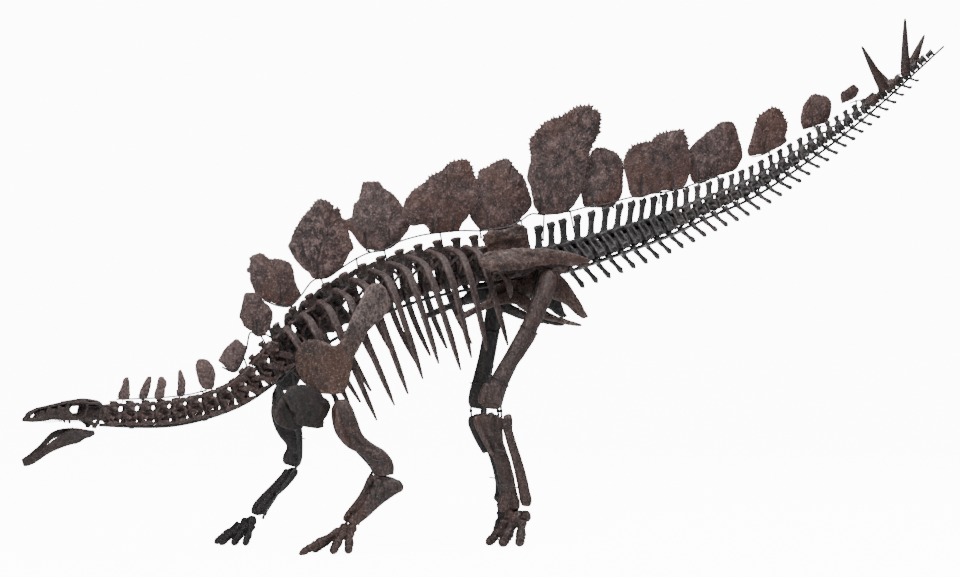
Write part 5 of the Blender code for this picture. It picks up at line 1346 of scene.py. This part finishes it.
for line in (((1.499, 2.150), (1.585, 2.169), (1.652, 2.211)), ((1.900, 2.318), (1.941, 2.336),
                                                                (1.990, 2.340)),
             ((2.160, 2.478), (2.201, 2.492), (2.240, 2.500))):
    wire_lines.append((smooth_path([(x, 0.0, z) for x, z in line]), 0.0034, ()))
# prongs that clasp each plate's foot from both sides: x, z of the foot and the row's side
for x, z, row, tall in (
    (-1.640, 0.962, 1, 0.05), (-1.540, 1.148, -1, 0.05), (-1.370, 1.304, 1, 0.09),
    (-1.195, 1.452, -1, 0.06),
    (-0.880, 1.594, 1, 0.09), (-0.740, 1.632, 1, 0.07), (-0.520, 1.694, -1, 0.06),
    (-0.400, 1.706, -1, 0.06),
    (-0.150, 1.720, 1, 0.06), (0.010, 1.762, 1, 0.05), (0.130, 1.812, -1, 0.09), (0.300, 1.822, -1, 0.06),
    (0.500, 1.858, 1, 0.05), (0.760, 1.918, -1, 0.09), (0.960, 1.950, -1, 0.06), (1.180, 2.008, 1, 0.05),
    (1.240, 2.024, 1, 0.04), (1.560, 2.165, -1, 0.05), (1.930, 2.334, 1, 0.04),
):
    for face in (-1, 1):
        wide = row * 0.043 + face * 0.017
        wire_lines.append((smooth_path([(x, 0.0, z), (x + 0.010 * face, wide * 0.7, z + 0.004),
                                        (x + 0.014 * face, wide, z + 0.022),
                                        (x + 0.016 * face, wide + row * tall * 0.06, z + 0.022 + tall)], 4),
                           0.0044, ()))
steelwork("back_plate_wire", wire_lines, BLACK_STEEL, ["plate_wire_back"], 1.0)
LEG_RODS = {
    "foreleg_rod_left": (
        ((-1.260, -0.215, 1.020), (-1.200, -0.262, 0.840), (-1.175, -0.272, 0.700), (-1.110, -0.272, 0.580),
         (-0.985, -0.258, 0.450), (-0.985, -0.258, 0.400), (-1.060, -0.262, 0.250), (-1.120, -0.262, 0.170),
         (-1.130, -0.268, 0.150)),
        ((-1.160, -0.316, 0.690), (-1.000, -0.310, 0.480), (-1.060, -0.318, 0.262))),
    "foreleg_rod_right": (
        ((-1.255, 0.205, 1.020), (-1.228, 0.250, 0.840), (-1.224, 0.252, 0.700), (-1.195, 0.252, 0.560),
         (-1.200, 0.246, 0.450), (-1.240, 0.246, 0.390), (-1.320, 0.248, 0.280), (-1.390, 0.250, 0.180),
         (-1.400, 0.255, 0.150)),
        ((-1.240, 0.296, 0.690), (-1.200, 0.290, 0.480), (-1.330, 0.300, 0.276))),
    "hindleg_rod_left": (
        ((0.030, -0.212, 1.515), (-0.030, -0.224, 1.290), (-0.110, -0.240, 1.130), (-0.200, -0.240, 0.990),
         (-0.300, -0.235, 0.830), (-0.320, -0.230, 0.700), (-0.280, -0.228, 0.520), (-0.225, -0.228, 0.350),
         (-0.185, -0.228, 0.190)),
        ((-0.110, -0.290, 1.150), (-0.260, -0.275, 0.500), (-0.205, -0.274, 0.300))),
    "hindleg_rod_right": (
        ((0.045, 0.212, 1.515), (0.020, 0.224, 1.290), (-0.005, 0.240, 1.130), (-0.040, 0.240, 0.960),
         (-0.090, 0.235, 0.800), (-0.085, 0.230, 0.660), (-0.010, 0.228, 0.500), (0.045, 0.228, 0.350),
         (0.070, 0.228, 0.190)),
        ((-0.008, 0.290, 1.150), (0.006, 0.275, 0.480), (0.050, 0.274, 0.300))),
}
for name, (points, clips) in LEG_RODS.items():
    fine = smooth_path(points)
    lines = [(fine, 0.0082, range(6, len(fine), 12))]
    for clip in clips:
        near = min(fine, key=lambda p: math.dist(p, clip))
        lines.append(((near, tuple((a + b) / 2 for a, b in zip(near, clip)), clip), 0.0065, (1,)))
    steelwork(f"{name}_bar", lines, BLACK_STEEL, [name], 0.95)
# straps round the leg bones: centre, direction of the bone seen from the side, half width, half depth
STRAPS = (
    ((-1.112, -0.350, 0.606), 50, 0.078, 0.046), ((-0.978, -0.350, 0.485), 78, 0.062, 0.046),
    ((-1.010, -0.364, 0.290), 48, 0.050, 0.040), ((-1.110, -0.340, 0.186), 30, 0.040, 0.044),
    ((-0.082, -0.318, 1.170), 62, 0.054, 0.044), ((-0.262, -0.320, 0.895), 60, 0.060, 0.052),
    ((-0.262, -0.318, 0.520), 72, 0.042, 0.046), ((-0.216, -0.325, 0.330), 80, 0.060, 0.046),
    ((-1.196, 0.330, 0.585), 80, 0.068, 0.044),
    ((-0.012, 0.318, 1.150), 88, 0.054, 0.044), ((-0.070, 0.320, 0.855), 80, 0.066, 0.052),
    ((0.004, 0.318, 0.500), 70, 0.056, 0.064), ((0.060, 0.325, 0.320), 80, 0.070, 0.064),
)
strap_lines = []
for centre, slope, half, deep in STRAPS:
    turn = math.radians(slope)
    across = Vector((math.sin(turn), 0.0, -math.cos(turn)))
    loop = []
    for k in range(29):
        angle = 2 * math.pi * k / 28
        loop.append(Vector(centre) + across * half * math.cos(angle) + SIDE * deep * math.sin(angle))
    strap_lines.append((loop, 0.0034, (21,)))
for side, x, z in ((-1, -0.300, 0.735), (1, -0.088, 0.710)):
    # the pins that carry the thigh on the shin
    for dx, dy in ((-0.046, 0.0), (0.040, -0.012), (0.046, 0.014)):
        strap_lines.append((((x + dx, side * (0.316 + dy), z + 0.036), (x + dx, side * (0.316 + dy), z),
                             (x + dx + 0.004, side * (0.316 + dy), z - 0.034)), 0.0058, (1,)))
steelwork("leg_straps", strap_lines, BLACK_STEEL, (), 1.0)
# two light grey bars side by side, from the hips back under the front of the tail
grey_lines = []
for side in (-1, 1):
    line = []
    for k in range(25):
        x = 0.270 + 0.780 * k / 24
        centre, along, up, radius, spine, drop = column_at(x)
        line.append(tuple(centre - up * (drop + 0.004) + SIDE * side * 0.016))
    grey_lines.append((line, 0.0062, (3, 12, 21)))
steelwork("grey_bars", grey_lines, GREY_STEEL, (), 1.0)
